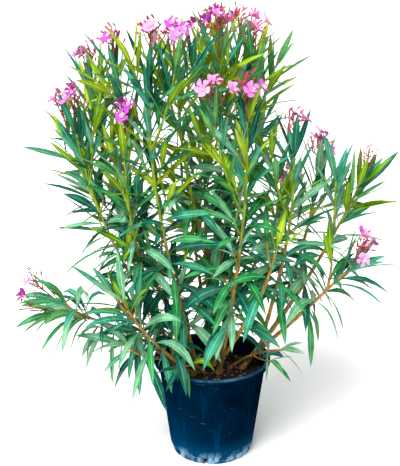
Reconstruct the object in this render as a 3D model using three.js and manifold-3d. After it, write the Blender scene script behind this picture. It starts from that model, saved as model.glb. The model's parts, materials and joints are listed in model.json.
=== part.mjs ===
// Potted oleander: a clump of canes in a round nursery pot filled with soil.
// Units are millimetres, +Z is up, and the origin is the centre of the pot's flat underside.
// Every cane leaves the soil with a root flare and ends where its leaves begin. A bough leaves the bare
// part of a cane, 0.3 mm clear of it. Each foliage mass carries on from one cane or bough: a leafy stem
// with side shoots, leaves in whorls of three, and flowers and buds at the tips of the shoots that bloom.
import * as THREE from 'three';
import { mergeVertices } from 'three/addons/utils/BufferGeometryUtils.js';
import Module from 'manifold-3d';

const wasm = await Module();
wasm.setup();

const GAP = 0.3; // clearance between neighbouring solids
// How far a surface may move when a foliage mass is tidied: the first distance that leaves it closed.
const SMALLEST = [0.14, 0.12, 0.16, 0.1, 0.18, 0.08, 0.2];
const MEET = 1e-3; // vertices nearer than this count as one
const REGROWN = 8; // how many seeds a foliage mass may try
const MARK_STEP = 9; // how far apart the points are that stand for a stem

// Pot: a tapered wall with a rolled rim, a foot band and drainage slots round its foot.
const POT = {
  height: 255,
  rimRadius: 148,
  rimHeight: 13,
  wallTopRadius: 138,
  wallFootRadius: 104,
  wall: 2.6,
  floor: 4,
  innerCorner: 20,
  ledgeRadius: 141,
  ledgeHeight: 9,
  footBand: 22,
  footInset: 3.5,
  segments: 32,
};
const SLOTS = { count: 8, width: 8, height: 17, inward: 16, turn: 36 };
const SOIL = { depth: 32, crown: 7, flat: 124 };
const GROUND = POT.height - SOIL.depth; // the soil's surface, where the canes stand

// Limbs: radii at the foot and where the leaves begin, the root flare, and the rings along a bare limb.
const CANE = {
  footRadius: 6.4,
  leafRadius: 4.8,
  boughShare: 0.78,
  flare: 1.5,
  flareHeight: 24,
  sunk: 14,
  sides: 6,
  steps: 3,
  crowding: 1.7,
};
const THIN = { girth: 0.62, leaf: 0.62 }; // a sucker's girth and its leaves' size beside a cane's
const TIP_RADIUS = 2.8;
const SPREAD = { inner: 8, perReach: 0.2 }; // how far from the centre a cane stands, by its reach
const BEND = { first: -5, last: 13, pull: 0.36 }; // degrees off the straight line at foot and tip
const TWIG = { sides: 3, step: 150, sideAngle: 30, sideRadius: 2.6 };

// Leaves: narrow, in whorls of three, hanging low down on a stem and upright towards its tip.
const LEAF = {
  length: 153,
  width: 27.5,
  thickness: 2.1,
  petioleShare: 0.2,
  widest: 0.44,
  lowAngle: 112,
  topAngle: 24,
  lowDroop: 0.62,
  topDroop: 0.08,
  groundHang: 2.6,
  crownHang: 0.85,
  crownHeight: 420,
  mostBend: 78, // degrees
  whorl: 3,
  internode: 72,
  crowding: 1.1,
};
// How far a leaf twists to the light: not at all up to the first angle off its stem, and by share past
// the last, towards a face that looks outwards and up.
const TWIST = { first: 35, last: 80, share: 0.72, out: 0.85, up: 0.5 };
// How a leaf that doesn't fit is tried again: degrees nearer the stem, degrees round it, and its size.
const LEAF_TRIES = [
  { closer: 0, turn: 0, shorter: 1 },
  { closer: 6, turn: 26, shorter: 1 },
  { closer: 6, turn: -26, shorter: 1 },
  { closer: 12, turn: 52, shorter: 1 },
  { closer: 12, turn: -52, shorter: 1 },
  { closer: 26, turn: 14, shorter: 0.95 },
  { closer: 26, turn: -40, shorter: 0.9 },
  { closer: 42, turn: 0, shorter: 0.85 },
];
const FLOWER = {
  radius: 21,
  depth: 15,
  waist: 0.4,
  petals: 5,
  stalk: 92,
  ray: 26,
  bud: 3.4,
  blooms: 2,
  buds: 2,
  lift: 10,
};
// How far a mass keeps off everything else: share is how much nearer to another stem than to its own
// a leaf may come, stem the least distance to another mass's stem, and leaf the least to its leaves.
const CLEAR = { share: 0.5, stem: 9, leaf: 1.2, pot: 6, soil: 5 };

// A shoot's name and the place of its last whorl: degrees round the pot's centre, mm out from it and mm
// above the soil.
const shoot = (name, azimuth, reach, height, rest) => ({ name, azimuth, reach, height, ...rest });

// The shoots. bare is a shoot's length without leaves, sides its side shoots, and heads the flower heads
// on its stem and side shoots. bend is in degrees: a shoot leaves its foot so much flatter and turns up as
// much at its tip, or where it is negative, it rises first and then arches over. hang is how many times
// as far as the others' its leaves bend down, and thin a slender young shoot with small leaves. A shoot
// with from is a bough on that cane, which it leaves "at" mm along.
const SHOOTS = [
  shoot('centre', 74, 53, 796, { bare: 320, sides: 3, heads: 3 }),
  shoot('front_left', 212, 170, 788, { bare: 110, sides: 3, heads: 3 }),
  shoot('front_right', 300, 150, 668, { bare: 170, sides: 1, heads: 2 }),
  shoot('back', 98, 151, 761, { bare: 110, sides: 2, heads: 1 }),
  shoot('left', 185, 321, 617, { bare: 220, sides: 2, heads: 2 }),
  shoot('right', 358, 350, 480, { bare: 270, sides: 2, heads: 1, bend: 6 }),
  shoot('back_right', 72, 300, 600, { bare: 180, sides: 2, heads: 1 }),
  shoot('back_low_left', 134, 330, 380, { bare: 140, sides: 2, heads: 1 }),
  shoot('front_left_low', 223, 285, 262, { bare: 140, sides: 1, heads: 0 }),
  shoot('left_low', 197, 386, 196, { bare: 150, sides: 2, heads: 2, bend: -20, hang: 3 }),
  shoot('front_sucker', 241, 168, 66, { bare: 50, sides: 0, heads: 0, bend: -20, thin: true }),
  shoot('right_sucker', 347, 181, 66, { bare: 110, sides: 0, heads: 0, bend: -20, thin: true }),
  shoot('middle', 194, 84, 778, { bare: 200, sides: 2, heads: 0, from: 'centre', at: 190 }),
  shoot('right_top', 46, 150, 758, { bare: 190, sides: 2, heads: 1, from: 'centre', at: 250 }),
  shoot('back_left', 156, 326, 697, { bare: 170, sides: 2, heads: 1, from: 'left', at: 190 }),
  shoot('left_inner', 203, 222, 596, { bare: 150, sides: 1, heads: 1, from: 'left', at: 130 }),
  shoot('right_shoulder', 19, 276, 477, { bare: 140, sides: 1, heads: 1, from: 'right', at: 150 }),
  shoot('right_inner', 340, 200, 572, { bare: 150, sides: 1, heads: 1, from: 'right', at: 80 }),
  shoot('right_low', 345, 328, 290, { bare: 200, sides: 2, heads: 1, from: 'right', at: 40, bend: 2, hang: 2 }),
  shoot('back_low_right', 56, 335, 340, { bare: 110, sides: 2, heads: 1, from: 'back_right', at: 110 }),
  shoot('back_low', 100, 330, 330, { bare: 130, sides: 1, heads: 0, from: 'back', at: 60 }),
  shoot('front_low', 316, 205, 372, { bare: 250, sides: 1, heads: 0, from: 'front_right', at: 40 }),
  shoot('left_skirt', 216, 245, 118, { bare: 95, sides: 1, heads: 0, from: 'left_low', at: 50 }),
];

const material = (name, color, roughness) =>
  new THREE.MeshStandardMaterial({ name, color, roughness, metalness: 0 });
const POT_PLASTIC = material('pot_plastic', 0x0b2a44, 0.38);
const SOIL_MIX = material('soil_mix', 0x241a16, 0.95);
const BARK = material('bark', 0x8a6a3c, 0.7);
const LEAVES = material('leaves', 0x2f7d4f, 0.5);

const UP = new THREE.Vector3(0, 0, 1);
const DOWN = new THREE.Vector3(0, 0, -1);
const radians = THREE.MathUtils.degToRad;
const { lerp, smoothstep } = THREE.MathUtils;

// Seeded random numbers from 0 to 1, so that the plant grows the same way each time.
function seeded(seed) {
  let state = seed >>> 0;
  return () => {
    state = (Math.imul(state, 1664525) + 1013904223) >>> 0;
    return state / 4294967296;
  };
}

// ---- solids ----

function solidOf(geometry, meet = 1e-4) {
  const plain = geometry.clone();
  plain.deleteAttribute('normal');
  plain.deleteAttribute('uv');
  const merged = mergeVertices(plain, meet);
  const corners = Array.from(merged.index.array);
  const triVerts = corners.filter((_, i) => {
    const [a, b, c] = corners.slice(i - (i % 3), i - (i % 3) + 3);
    return a !== b && b !== c && c !== a;
  });
  return new wasm.Manifold(
    new wasm.Mesh({
      numProp: 3,
      vertProperties: new Float32Array(merged.attributes.position.array),
      triVerts: new Uint32Array(triVerts),
    }),
  );
}

function geometryOf(solid) {
  const data = solid.getMesh();
  const positions = new Float32Array(data.numVert * 3);
  for (let i = 0; i < data.numVert; i++) {
    positions.set(data.vertProperties.subarray(i * data.numProp, i * data.numProp + 3), i * 3);
  }
  const geometry = new THREE.BufferGeometry();
  geometry.setAttribute('position', new THREE.BufferAttribute(positions, 3));
  geometry.setIndex(new THREE.BufferAttribute(data.triVerts, 1));
  return geometry;
}

function meshOf(name, solid, finish) {
  const geometry = geometryOf(solid);
  geometry.computeVertexNormals();
  const mesh = new THREE.Mesh(geometry, finish);
  mesh.name = name;
  return mesh;
}

// The largest of a solid's separate shells: loose scraps are dropped and sealed hollows are filled.
function largest(solid) {
  return solid.decompose().reduce((most, shell) => (shell.volume() > most.volume() ? shell : most));
}

// Whether a solid stays one closed body once vertices that meet are merged, with two triangles to each
// edge.
function closes(solid) {
  const data = solid.getMesh();
  const merged = new Map();
  const corner = Array.from({ length: data.numVert }, (_, i) => {
    const at = data.vertProperties.subarray(i * data.numProp, i * data.numProp + 3);
    const key = Array.from(at, (value) => Math.round(value / MEET)).join();
    if (!merged.has(key)) merged.set(key, i);
    return merged.get(key);
  });
  const edges = new Map();
  for (let i = 0; i < data.triVerts.length; i += 3) {
    const [a, b, c] = [0, 1, 2].map((k) => corner[data.triVerts[i + k]]);
    if (a === b || b === c || c === a) continue;
    for (const [from, to] of [[a, b], [b, c], [c, a]]) {
      const key = from < to ? `${from},${to}` : `${to},${from}`;
      edges.set(key, (edges.get(key) ?? 0) + 1);
    }
  }
  const paired = [...edges.values()].every((uses) => uses === 2);
  return paired && solidOf(geometryOf(solid), MEET).decompose().length === 1;
}

// One solid with its smallest edges closed up, so that roots leave no slivers on a stem, or null where
// it doesn't close.
function tidied(solid) {
  const plain = solid.asOriginal();
  const distance = SMALLEST.find((step) => closes(largest(plain.simplify(step))));
  return distance === undefined ? null : largest(plain.simplify(distance));
}

const joined = (solids) => solids.reduce((sum, solid) => sum.add(solid));

// Moves every vertex of a three.js primitive to place(x, y, z).
function reshaped(geometry, place) {
  const position = geometry.attributes.position;
  for (let i = 0; i < position.count; i++) {
    const to = place(position.getX(i), position.getY(i), position.getZ(i));
    position.setXYZ(i, to.x, to.y, to.z);
  }
  return solidOf(geometry);
}

function lathed(profile, segments) {
  const points = profile.map(([radius, height]) => new THREE.Vector2(radius, height));
  return solidOf(new THREE.LatheGeometry(points, segments).rotateX(Math.PI / 2));
}

// Two directions square to "along", the first as near as it can be to "near".
function squareTo(along, near) {
  const first = near.clone().addScaledVector(along, -near.dot(along)).normalize();
  return [first, first.clone().cross(along)];
}

// Two directions square to one that may point any way.
function acrossTo(direction) {
  return squareTo(direction, Math.abs(direction.z) > 0.9 ? new THREE.Vector3(1, 0, 0) : UP);
}

// A round limb along a curve from one share of it to another, with a radius for each share. Its rings
// may stand closer together towards its foot, and the first may be sunk by some mm.
function limb(curve, from, to, radius, { sides, steps, near, crowding = 1, sunk = 0 }) {
  return reshaped(new THREE.CylinderGeometry(1, 1, 1, sides, steps), (x, y, z) => {
    const share = Math.pow(y + 0.5, crowding);
    const t = lerp(from, to, share);
    const along = curve.getTangent(t);
    const [first, second] = squareTo(along, near);
    const r = radius(share);
    return curve
      .getPoint(t)
      .addScaledVector(along, share > 0 ? 0 : -sunk)
      .addScaledVector(first, x * r)
      .addScaledVector(second, z * r);
  });
}

// ---- pot and soil ----

function potWallRadius(height) {
  return lerp(POT.wallFootRadius, POT.wallTopRadius, height / POT.height);
}

// The inner wall runs straight from above the rounded corner of the floor up to the rim.
function potInnerRadius(height) {
  const foot = potWallRadius(POT.innerCorner) - POT.wall - POT.footInset;
  const share = (height - POT.innerCorner) / (POT.height - POT.innerCorner);
  return lerp(foot, POT.wallTopRadius - POT.wall, share);
}

function pot() {
  const { height, rimRadius, rimHeight, ledgeRadius, ledgeHeight } = POT;
  const { footBand, footInset, floor, innerCorner } = POT;
  const rimLow = height - rimHeight;
  const body = lathed(
    [
      [0, 0],
      [POT.wallFootRadius - footInset - 3, 0],
      [POT.wallFootRadius - footInset, 3],
      [potWallRadius(footBand) - footInset, footBand - 3],
      [potWallRadius(footBand), footBand],
      [potWallRadius(rimLow - ledgeHeight - 2), rimLow - ledgeHeight - 2],
      [ledgeRadius, rimLow - ledgeHeight],
      [ledgeRadius, rimLow],
      [rimRadius - 1.5, rimLow],
      [rimRadius, rimLow + 3],
      [rimRadius, height - 4],
      [rimRadius - 3, height],
      [potInnerRadius(height) + 2, height],
      [potInnerRadius(height - 3), height - 3],
      [potInnerRadius(innerCorner), innerCorner],
      [potInnerRadius(floor) - 5, floor],
      [0, floor],
    ],
    POT.segments,
  );
  const slots = [];
  for (let i = 0; i < SLOTS.count; i++) {
    const angle = radians(SLOTS.turn + (360 / SLOTS.count) * i);
    const slot = new THREE.BoxGeometry(SLOTS.inward * 2, SLOTS.width, SLOTS.height * 2);
    slot.translate(POT.wallFootRadius, 0, 0).rotateZ(angle);
    slots.push(solidOf(slot));
  }
  return body.subtract(joined(slots));
}

// The soil fills the pot up to its surface, which is flat where the canes stand and sinks at the wall.
function soil() {
  const low = POT.floor + GAP;
  const side = (z) => potInnerRadius(z) - GAP * 1.1;
  return lathed(
    [
      [0, low],
      [side(low) - 5.5, low],
      [side(POT.innerCorner), POT.innerCorner],
      [side(GROUND - SOIL.crown), GROUND - SOIL.crown],
      [SOIL.flat, GROUND],
      [0, GROUND],
    ],
    POT.segments,
  );
}

// ---- shoots ----

function polar(azimuth, reach, height) {
  const angle = radians(azimuth);
  return new THREE.Vector3(reach * Math.cos(angle), reach * Math.sin(angle), height);
}

// Turns a direction towards straight up by some degrees.
function raised(direction, degrees) {
  const axis = direction.clone().cross(UP);
  if (axis.lengthSq() < 1e-9) return direction.clone();
  return direction.clone().applyAxisAngle(axis.normalize(), radians(degrees));
}

// A shoot's curve from its foot to its last whorl: it leaves a little flat and turns up to the light.
function shootCurve(shoot, foot) {
  const head = polar(shoot.azimuth, shoot.reach, GROUND + shoot.height);
  const straight = head.clone().sub(foot);
  const pull = straight.length() * BEND.pull;
  straight.normalize();
  const first = raised(straight, shoot.bend ? -shoot.bend : BEND.first);
  const last = raised(straight, shoot.bend ?? BEND.last);
  return new THREE.CubicBezierCurve3(
    foot,
    foot.clone().addScaledVector(first, pull),
    head.clone().addScaledVector(last, -pull),
    head,
  );
}

function planned() {
  const plans = new Map();
  for (const shoot of SHOOTS) {
    const parent = shoot.from && plans.get(shoot.from);
    const foot = parent
      ? parent.curve.getPointAt(shoot.at / parent.length)
      : polar(shoot.azimuth, SPREAD.inner + SPREAD.perReach * shoot.reach, GROUND + GAP);
    const curve = shootCurve(shoot, foot);
    const length = curve.getLength();
    const girth = shoot.thin ? THIN.girth : 1;
    plans.set(shoot.name, {
      ...shoot,
      parent,
      curve,
      length,
      near: new THREE.Vector3(-Math.sin(radians(shoot.azimuth)), Math.cos(radians(shoot.azimuth)), 0),
      leafy: shoot.bare / length,
      footRadius: CANE.footRadius * girth * (parent ? CANE.boughShare : 1),
      leafRadius: CANE.leafRadius * girth,
      leafScale: shoot.thin ? THIN.leaf : 1,
      hang: shoot.hang ?? 1,
    });
  }
  return plans;
}

function bareRadius(plan, share) {
  const plain = lerp(plan.footRadius, plan.leafRadius, share);
  const up = (share * plan.bare) / CANE.flareHeight;
  return plan.parent ? plain : plain * lerp(CANE.flare, 1, smoothstep(up, 0, 1));
}

function bareShape(plan, clearance) {
  const { sides, steps, crowding } = CANE;
  const rings = { sides, steps, crowding, near: plan.near, sunk: plan.parent ? 0 : CANE.sunk };
  return limb(plan.curve, 0, plan.leafy, (share) => bareRadius(plan, share) + clearance, rings);
}

// The bare limb: a cane from the flat cut at the soil, or a bough cut clear of the cane it leaves.
function bareLimb(plan) {
  const whole = bareShape(plan, 0);
  if (plan.parent) return largest(whole.subtract(bareShape(plan.parent, GAP * 1.4)));
  const ground = new THREE.BoxGeometry(400, 400, 60).translate(0, 0, GROUND + GAP - 30);
  return whole.subtract(solidOf(ground));
}

// ---- foliage ----

// Straight side shoots round the upper stem. Each starts inside it, and turns up from its own angle.
function sideShoots(plan) {
  const sides = [];
  for (let i = 0; i < plan.sides; i++) {
    const t = lerp(plan.leafy, 1, 0.56 + 0.16 * i);
    const along = plan.curve.getTangent(t);
    const [first, second] = squareTo(along, plan.near);
    const turn = radians(70 + 150 * i + plan.azimuth * 0.5);
    const out = first.multiplyScalar(Math.cos(turn)).addScaledVector(second, Math.sin(turn));
    const angle = radians(TWIG.sideAngle);
    const direction = along.clone().multiplyScalar(Math.cos(angle)).addScaledVector(out, Math.sin(angle));
    const length = (1 - t) * plan.length * 0.92 + 20;
    const foot = plan.curve.getPoint(t);
    const bend = foot.clone().addScaledVector(direction, length * 0.5);
    const tip = foot.clone().addScaledVector(raised(direction, 8), length);
    sides.push(new THREE.QuadraticBezierCurve3(foot, bend, tip));
  }
  return sides;
}

// Points along a curve, "step" mm apart, that stand for it when distances are tested.
function samples(curve, from, step) {
  const count = Math.max(2, Math.ceil((curve.getLength() * (1 - from)) / step));
  return Array.from({ length: count + 1 }, (_, i) => ({
    at: curve.getPoint(lerp(from, 1, i / count)),
    reach: 0,
  }));
}

function nearest(point, marks) {
  let least = Infinity;
  for (const mark of marks) {
    least = Math.min(least, point.distanceTo(mark.at) - mark.reach);
  }
  return least;
}

// Whether a point keeps to the mass's own space: near its own stems, clear of the other masses' stems,
// and off the pot and the soil.
function keepsClear(point, space) {
  const own = nearest(point, space.own);
  if (nearest(point, space.others) < Math.max(CLEAR.stem, own * CLEAR.share)) return false;
  const out = Math.hypot(point.x, point.y);
  if (point.z > POT.height + CLEAR.pot || out > POT.rimRadius + CLEAR.pot) return point.z > CLEAR.soil;
  return out < potWallRadius(GROUND) - POT.wall - CLEAR.pot && point.z > GROUND + CLEAR.soil;
}

// A leaf: its root inside the stem, a narrow petiole, widest below the middle, and a bend at mid-length
// that stops short of folding the tip back.
function leafShape(root, direction, across, length, width, droop) {
  const second = direction.clone().addScaledVector(DOWN, droop).normalize();
  const excess = direction.angleTo(second) - radians(LEAF.mostBend);
  if (excess > 0) second.applyAxisAngle(second.clone().cross(direction).normalize(), excess);
  const mid = root.clone().addScaledVector(direction, length * LEAF.widest);
  const tip = mid.clone().addScaledVector(second, length * (1 - LEAF.widest));
  const top = across.clone().cross(direction).normalize();
  return { root, mid, tip, across, top, width };
}

// The root is an upright edge, so that the narrow petiole keeps its depth. The lower corners of the
// cone's first row close onto the edge's top, and the third is its foot.
function leafSolid({ root, mid, tip, across, top, width }) {
  return reshaped(new THREE.ConeGeometry(1, 1, 3, 2), (x, y, z) => {
    const row = Math.round((y + 0.5) * 2);
    const keel = z > 0.1;
    if (row === 2) return tip.clone();
    if (row === 0) return root.clone().addScaledVector(top, (keel ? -1 : 1) * (LEAF.thickness / 2));
    return mid
      .clone()
      .addScaledVector(across, -Math.sign(Math.round(x * 2)) * (width / 2))
      .addScaledVector(top, keel ? -LEAF.thickness : 0);
  });
}

// The room that a leaf takes: its blade, from the petiole's end on, with a margin all round.
function leafRoom({ root, mid, tip, across, top, width }) {
  const past = tip.clone().sub(mid).setLength(CLEAR.leaf);
  const stations = [
    { at: root.clone().lerp(mid, LEAF.petioleShare), half: (width / 2) * LEAF.petioleShare },
    { at: mid, half: width / 2 },
    { at: tip.clone().add(past), half: 0 },
  ];
  return reshaped(new THREE.BoxGeometry(2, 2, 2, 1, 2, 1), (x, y, z) => {
    const { at, half } = stations[Math.round(y) + 1];
    return at
      .clone()
      .addScaledVector(across, x * (half + CLEAR.leaf))
      .addScaledVector(top, -z * (LEAF.thickness / 2 + CLEAR.leaf) - LEAF.thickness / 2);
  });
}

function leafPoints(leaf) {
  const { root, mid, tip, across, width } = leaf;
  const points = [0.35, 0.7].map((s) => root.clone().lerp(mid, s));
  points.push(mid, ...[-0.5, 0.5].map((s) => mid.clone().addScaledVector(across, s * width)));
  for (const s of [0.33, 0.66]) {
    for (const side of [-0.5, 0, 0.5]) {
      points.push(mid.clone().lerp(tip, s).addScaledVector(across, side * width * (1 - s)));
    }
  }
  points.push(tip);
  return points;
}

// What one mass has grown so far, among everything that already stands.
function growth(first, standing) {
  let solid = first;
  let count = 0;
  return {
    fits: (room) => solid.intersect(room).isEmpty() && standing.intersect(room).isEmpty(),
    join: (piece) => {
      solid = solid.add(piece);
      count += 1;
    },
    solid: () => solid,
    count: () => count,
  };
}

// Whorls of three up one stem. up runs from 0 at the foliage's foot to 1 at the stem's tip, and each
// whorl is turned by half a gap from the one below. A leaf that doesn't fit is tried nearer the stem
// and shorter, and is then left out.
function growWhorls(curve, from, rule, space, grown, random) {
  const length = curve.getLength() * (1 - from);
  const count = Math.max(1, Math.round(length / (LEAF.internode * rule.leafScale)));
  for (let i = 0; i < count; i++) {
    const share = Math.pow((i + 0.3) / (count - 0.4), LEAF.crowding);
    const t = lerp(from, 1, Math.min(share, 0.985));
    const up = lerp(rule.low, 1, Math.min(share, 1));
    const at = curve.getPoint(t);
    const along = curve.getTangent(t);
    const [first, second] = squareTo(along, rule.near);
    for (let k = 0; k < LEAF.whorl; k++) {
      const turn = radians(30 + (360 / LEAF.whorl) * (k + (i % 2) / 2) + 16 * (random() - 0.5));
      const out = first.clone().multiplyScalar(Math.cos(turn)).addScaledVector(second, Math.sin(turn));
      const across = out.clone().cross(along).normalize();
      const opened = smoothstep(up, -0.15, 1.05);
      const spread = lerp(LEAF.lowAngle, LEAF.topAngle, opened) + 12 * (random() - 0.5);
      const rise = smoothstep(at.z - GROUND, 0, LEAF.crownHeight);
      const hang = lerp(LEAF.groundHang, LEAF.crownHang, rise) * rule.hang;
      const droop = lerp(LEAF.lowDroop, LEAF.topDroop, up) * hang * (0.75 + 0.5 * random());
      const scale = rule.leafScale * (0.88 + 0.24 * random());
      const size = LEAF.length * (1 - 0.28 * up * up) * scale;
      const width = LEAF.width * rule.leafScale;
      growLeaf(at, along, out, across, { spread, droop, size, width }, space, grown);
    }
  }
}

function growLeaf(at, along, out, across, { spread, droop, size, width }, space, grown) {
  for (const { closer, turn, shorter } of LEAF_TRIES) {
    const angle = Math.max(spread - closer, 21);
    const aim = out.clone().applyAxisAngle(along, radians(turn));
    const direction = along.clone().multiplyScalar(Math.cos(radians(angle)));
    direction.addScaledVector(aim, Math.sin(radians(angle)));
    const middle = at.clone().addScaledVector(direction, (size * shorter) / 2);
    const flat = across.clone().applyAxisAngle(along, radians(turn));
    const side = twisted(flat, direction, middle, angle);
    const leaf = leafShape(at, direction, side, size * shorter, width * shorter, droop);
    if (!leafPoints(leaf).every((point) => keepsClear(point, space))) continue;
    if (!grown.fits(leafRoom(leaf))) continue;
    grown.join(leafSolid(leaf));
    return;
  }
}

// A leaf's crosswise direction once it has twisted to the light. An upright leaf keeps its face to its
// stem, and a spreading one turns it outwards and up.
function twisted(across, direction, middle, angle) {
  const outward = new THREE.Vector3(middle.x, middle.y, 0).normalize();
  const lit = outward.multiplyScalar(TWIST.out).addScaledVector(UP, TWIST.up);
  const share = TWIST.share * smoothstep(angle, TWIST.first, TWIST.last);
  const face = across.clone().cross(direction).lerp(lit, share);
  return direction.clone().cross(face).normalize();
}

// A ray that swells into a bud: slim, then a spindle that closes at its tip.
function budRay(from, direction, length) {
  const radii = [1.2, FLOWER.bud, 0];
  const shares = [0, 0.72, 1];
  const [first, second] = acrossTo(direction);
  return reshaped(new THREE.ConeGeometry(1, 1, 3, 2), (x, y, z) => {
    const row = Math.round((y + 0.5) * 2);
    const r = Math.hypot(x, z) || 1;
    return from
      .clone()
      .addScaledVector(direction, length * shares[row])
      .addScaledVector(first, (x / r) * radii[row])
      .addScaledVector(second, (z / r) * radii[row]);
  });
}

// A flower: a five-pointed funnel that opens along its direction.
function flower(at, direction) {
  const [first, second] = acrossTo(direction);
  const points = FLOWER.petals * 2;
  return reshaped(new THREE.CylinderGeometry(1, 0, 1, points, 1), (x, y, z) => {
    const r = Math.hypot(x, z);
    if (y < 0) return at.clone().addScaledVector(direction, -5);
    if (r < 1e-6) return at.clone().addScaledVector(direction, FLOWER.depth * 0.45);
    const point = Math.round((Math.atan2(x, z) / (2 * Math.PI)) * points + points) % 2;
    const reach = FLOWER.radius * (point ? 1 : FLOWER.waist);
    return at
      .clone()
      .addScaledVector(direction, FLOWER.depth * (point ? 1 : 0.8))
      .addScaledVector(first, x * reach)
      .addScaledVector(second, z * reach);
  });
}

// The stems of a shoot that end in a flower head, and the way the head's stalk goes from each.
function headStems(plan) {
  const outward = polar(plan.azimuth, 1, 0);
  return [plan.curve, ...plan.sideCurves].slice(0, plan.heads).map((curve) => ({
    tip: curve.getPoint(1),
    way: raised(curve.getTangent(1).addScaledVector(outward, 0.12).normalize(), FLOWER.lift),
  }));
}

// Marks that keep other masses off the flower heads: one half way up each stalk and one at its end.
function headMarks(plan) {
  return headStems(plan).flatMap(({ tip, way }) => [
    { at: tip.clone().addScaledVector(way, FLOWER.stalk / 2), reach: 0 },
    { at: tip.clone().addScaledVector(way, FLOWER.stalk), reach: FLOWER.radius },
  ]);
}

// The flower head of one stem: a stalk that carries on from its tip, leaning out, with rays round its
// end. Some rays open as flowers and the others end in buds.
function bloomHead({ tip, way: stalkWay }, near, space, random) {
  const end = tip.clone().addScaledVector(stalkWay, FLOWER.stalk);
  const stalk = new THREE.LineCurve3(tip.clone().addScaledVector(stalkWay, -6), end);
  const solids = [limb(stalk, 0, 1, (s) => lerp(2.1, 1.7, s), { sides: TWIG.sides, steps: 1, near })];
  const rays = FLOWER.blooms + FLOWER.buds;
  const [first, second] = squareTo(stalkWay, near);
  for (let i = 0; i < rays; i++) {
    const open = i % 2 === 0 && i / 2 < FLOWER.blooms;
    const turn = radians((360 / rays) * i + 40 * random());
    const lean = radians(open ? 56 : 24 + 24 * random());
    const out = first.clone().multiplyScalar(Math.cos(turn)).addScaledVector(second, Math.sin(turn));
    const way = stalkWay.clone().multiplyScalar(Math.cos(lean)).addScaledVector(out, Math.sin(lean));
    const from = end.clone().addScaledVector(stalkWay, -2 - 7 * (i % 3));
    const length = FLOWER.ray * (0.9 + 0.5 * random());
    const ray = open ? openRay(from, way, length, near, space) : closedRay(from, way, length * 1.4, space);
    solids.push(...ray);
  }
  return solids;
}

function closedRay(from, way, length, space) {
  return keepsClear(from.clone().addScaledVector(way, length), space) ? [budRay(from, way, length)] : [];
}

function openRay(from, way, length, near, space) {
  const end = from.clone().addScaledVector(way, length);
  const centre = end.clone().addScaledVector(way, FLOWER.depth);
  const [first, second] = squareTo(way, near);
  const edges = [first, second].flatMap((side) =>
    [-1, 1].map((s) => centre.clone().addScaledVector(side, s * FLOWER.radius)),
  );
  if (!edges.every((edge) => keepsClear(edge, space))) return [];
  const ray = new THREE.LineCurve3(from, end);
  return [limb(ray, 0, 1, () => 1.3, { sides: TWIG.sides, steps: 1, near }), flower(end, way)];
}

// A mass without its leaves: its stem, its side shoots and its flower heads.
function twigs(plan, space, random) {
  const { curve, leafy, near } = plan;
  const start = leafyStart(plan);
  const { sides, sideRadius } = TWIG;
  const steps = Math.max(3, Math.round((plan.length * (1 - start)) / TWIG.step));
  const stemRadius = (s) => lerp(plan.leafRadius, TIP_RADIUS, s);
  const shootRadius = (s) => lerp(sideRadius * 1.5, sideRadius, s);
  const solids = [limb(curve, start, 1, stemRadius, { sides, steps, near })];
  for (const side of plan.sideCurves) {
    solids.push(limb(side, 0, 1, shootRadius, { sides, steps: 2, near }));
  }
  for (const stem of headStems(plan)) {
    solids.push(...bloomHead(stem, near, space, random));
  }
  return joined(solids);
}

// Where a mass's stem starts: just clear of the end of its cane or bough.
const leafyStart = (plan) => plan.leafy + (GAP / plan.length) * 1.2;

// A mass whose leaves meet edge to edge doesn't close, and grows again from another seed.
function foliage(plan, standing) {
  for (let seed = plan.seed; seed < plan.seed + REGROWN; seed++) {
    const random = seeded(seed);
    const grown = growth(plan.twigs, standing);
    growWhorls(plan.curve, leafyStart(plan), { ...plan, low: 0 }, plan.space, grown, random);
    for (const side of plan.sideCurves) {
      growWhorls(side, 0.3, { ...plan, low: 0.62 }, plan.space, grown, random);
    }
    const solid = tidied(grown.solid());
    if (solid) return { solid, leafCount: grown.count() };
  }
  throw new Error(`foliage_${plan.name} doesn't close`);
}

// ---- the whole plant ----

const plant = new THREE.Group();
plant.name = 'potted_oleander';
plant.add(meshOf('pot', pot(), POT_PLASTIC));
plant.add(meshOf('soil', soil(), SOIL_MIX));

const plans = [...planned().values()];
for (const plan of plans) {
  plan.sideCurves = sideShoots(plan);
  const sides = plan.sideCurves.map((side) => samples(side, 0, MARK_STEP));
  const stems = [samples(plan.curve, plan.leafy, MARK_STEP), ...sides];
  plan.marks = [...stems.flat(), ...headMarks(plan)];
}
plans.forEach((plan, i) => {
  plan.seed = 101 + 37 * i;
  const others = plans.filter((other) => other !== plan).flatMap((other) => other.marks);
  plan.space = { own: plan.marks, others };
  plan.bareSolid = bareLimb(plan);
  plan.twigs = twigs(plan, plan.space, seeded(plan.seed));
});

// Every limb and twig stands before the first leaf grows, so that no leaf crosses one.
let standing = joined(plans.flatMap((plan) => [plan.bareSolid, plan.twigs]));
let leafTotal = 0;
for (const plan of plans) {
  const made = foliage(plan, standing);
  standing = standing.add(made.solid);
  leafTotal += made.leafCount;
  plant.add(meshOf(`${plan.parent ? 'bough' : 'cane'}_${plan.name}`, plan.bareSolid, BARK));
  plant.add(meshOf(`foliage_${plan.name}`, made.solid, LEAVES));
}
plant.userData.leaves = leafTotal;

export default plant;
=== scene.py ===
import json
import math

import bpy
import numpy as np
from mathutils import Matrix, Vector, noise
from mathutils.kdtree import KDTree

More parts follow.
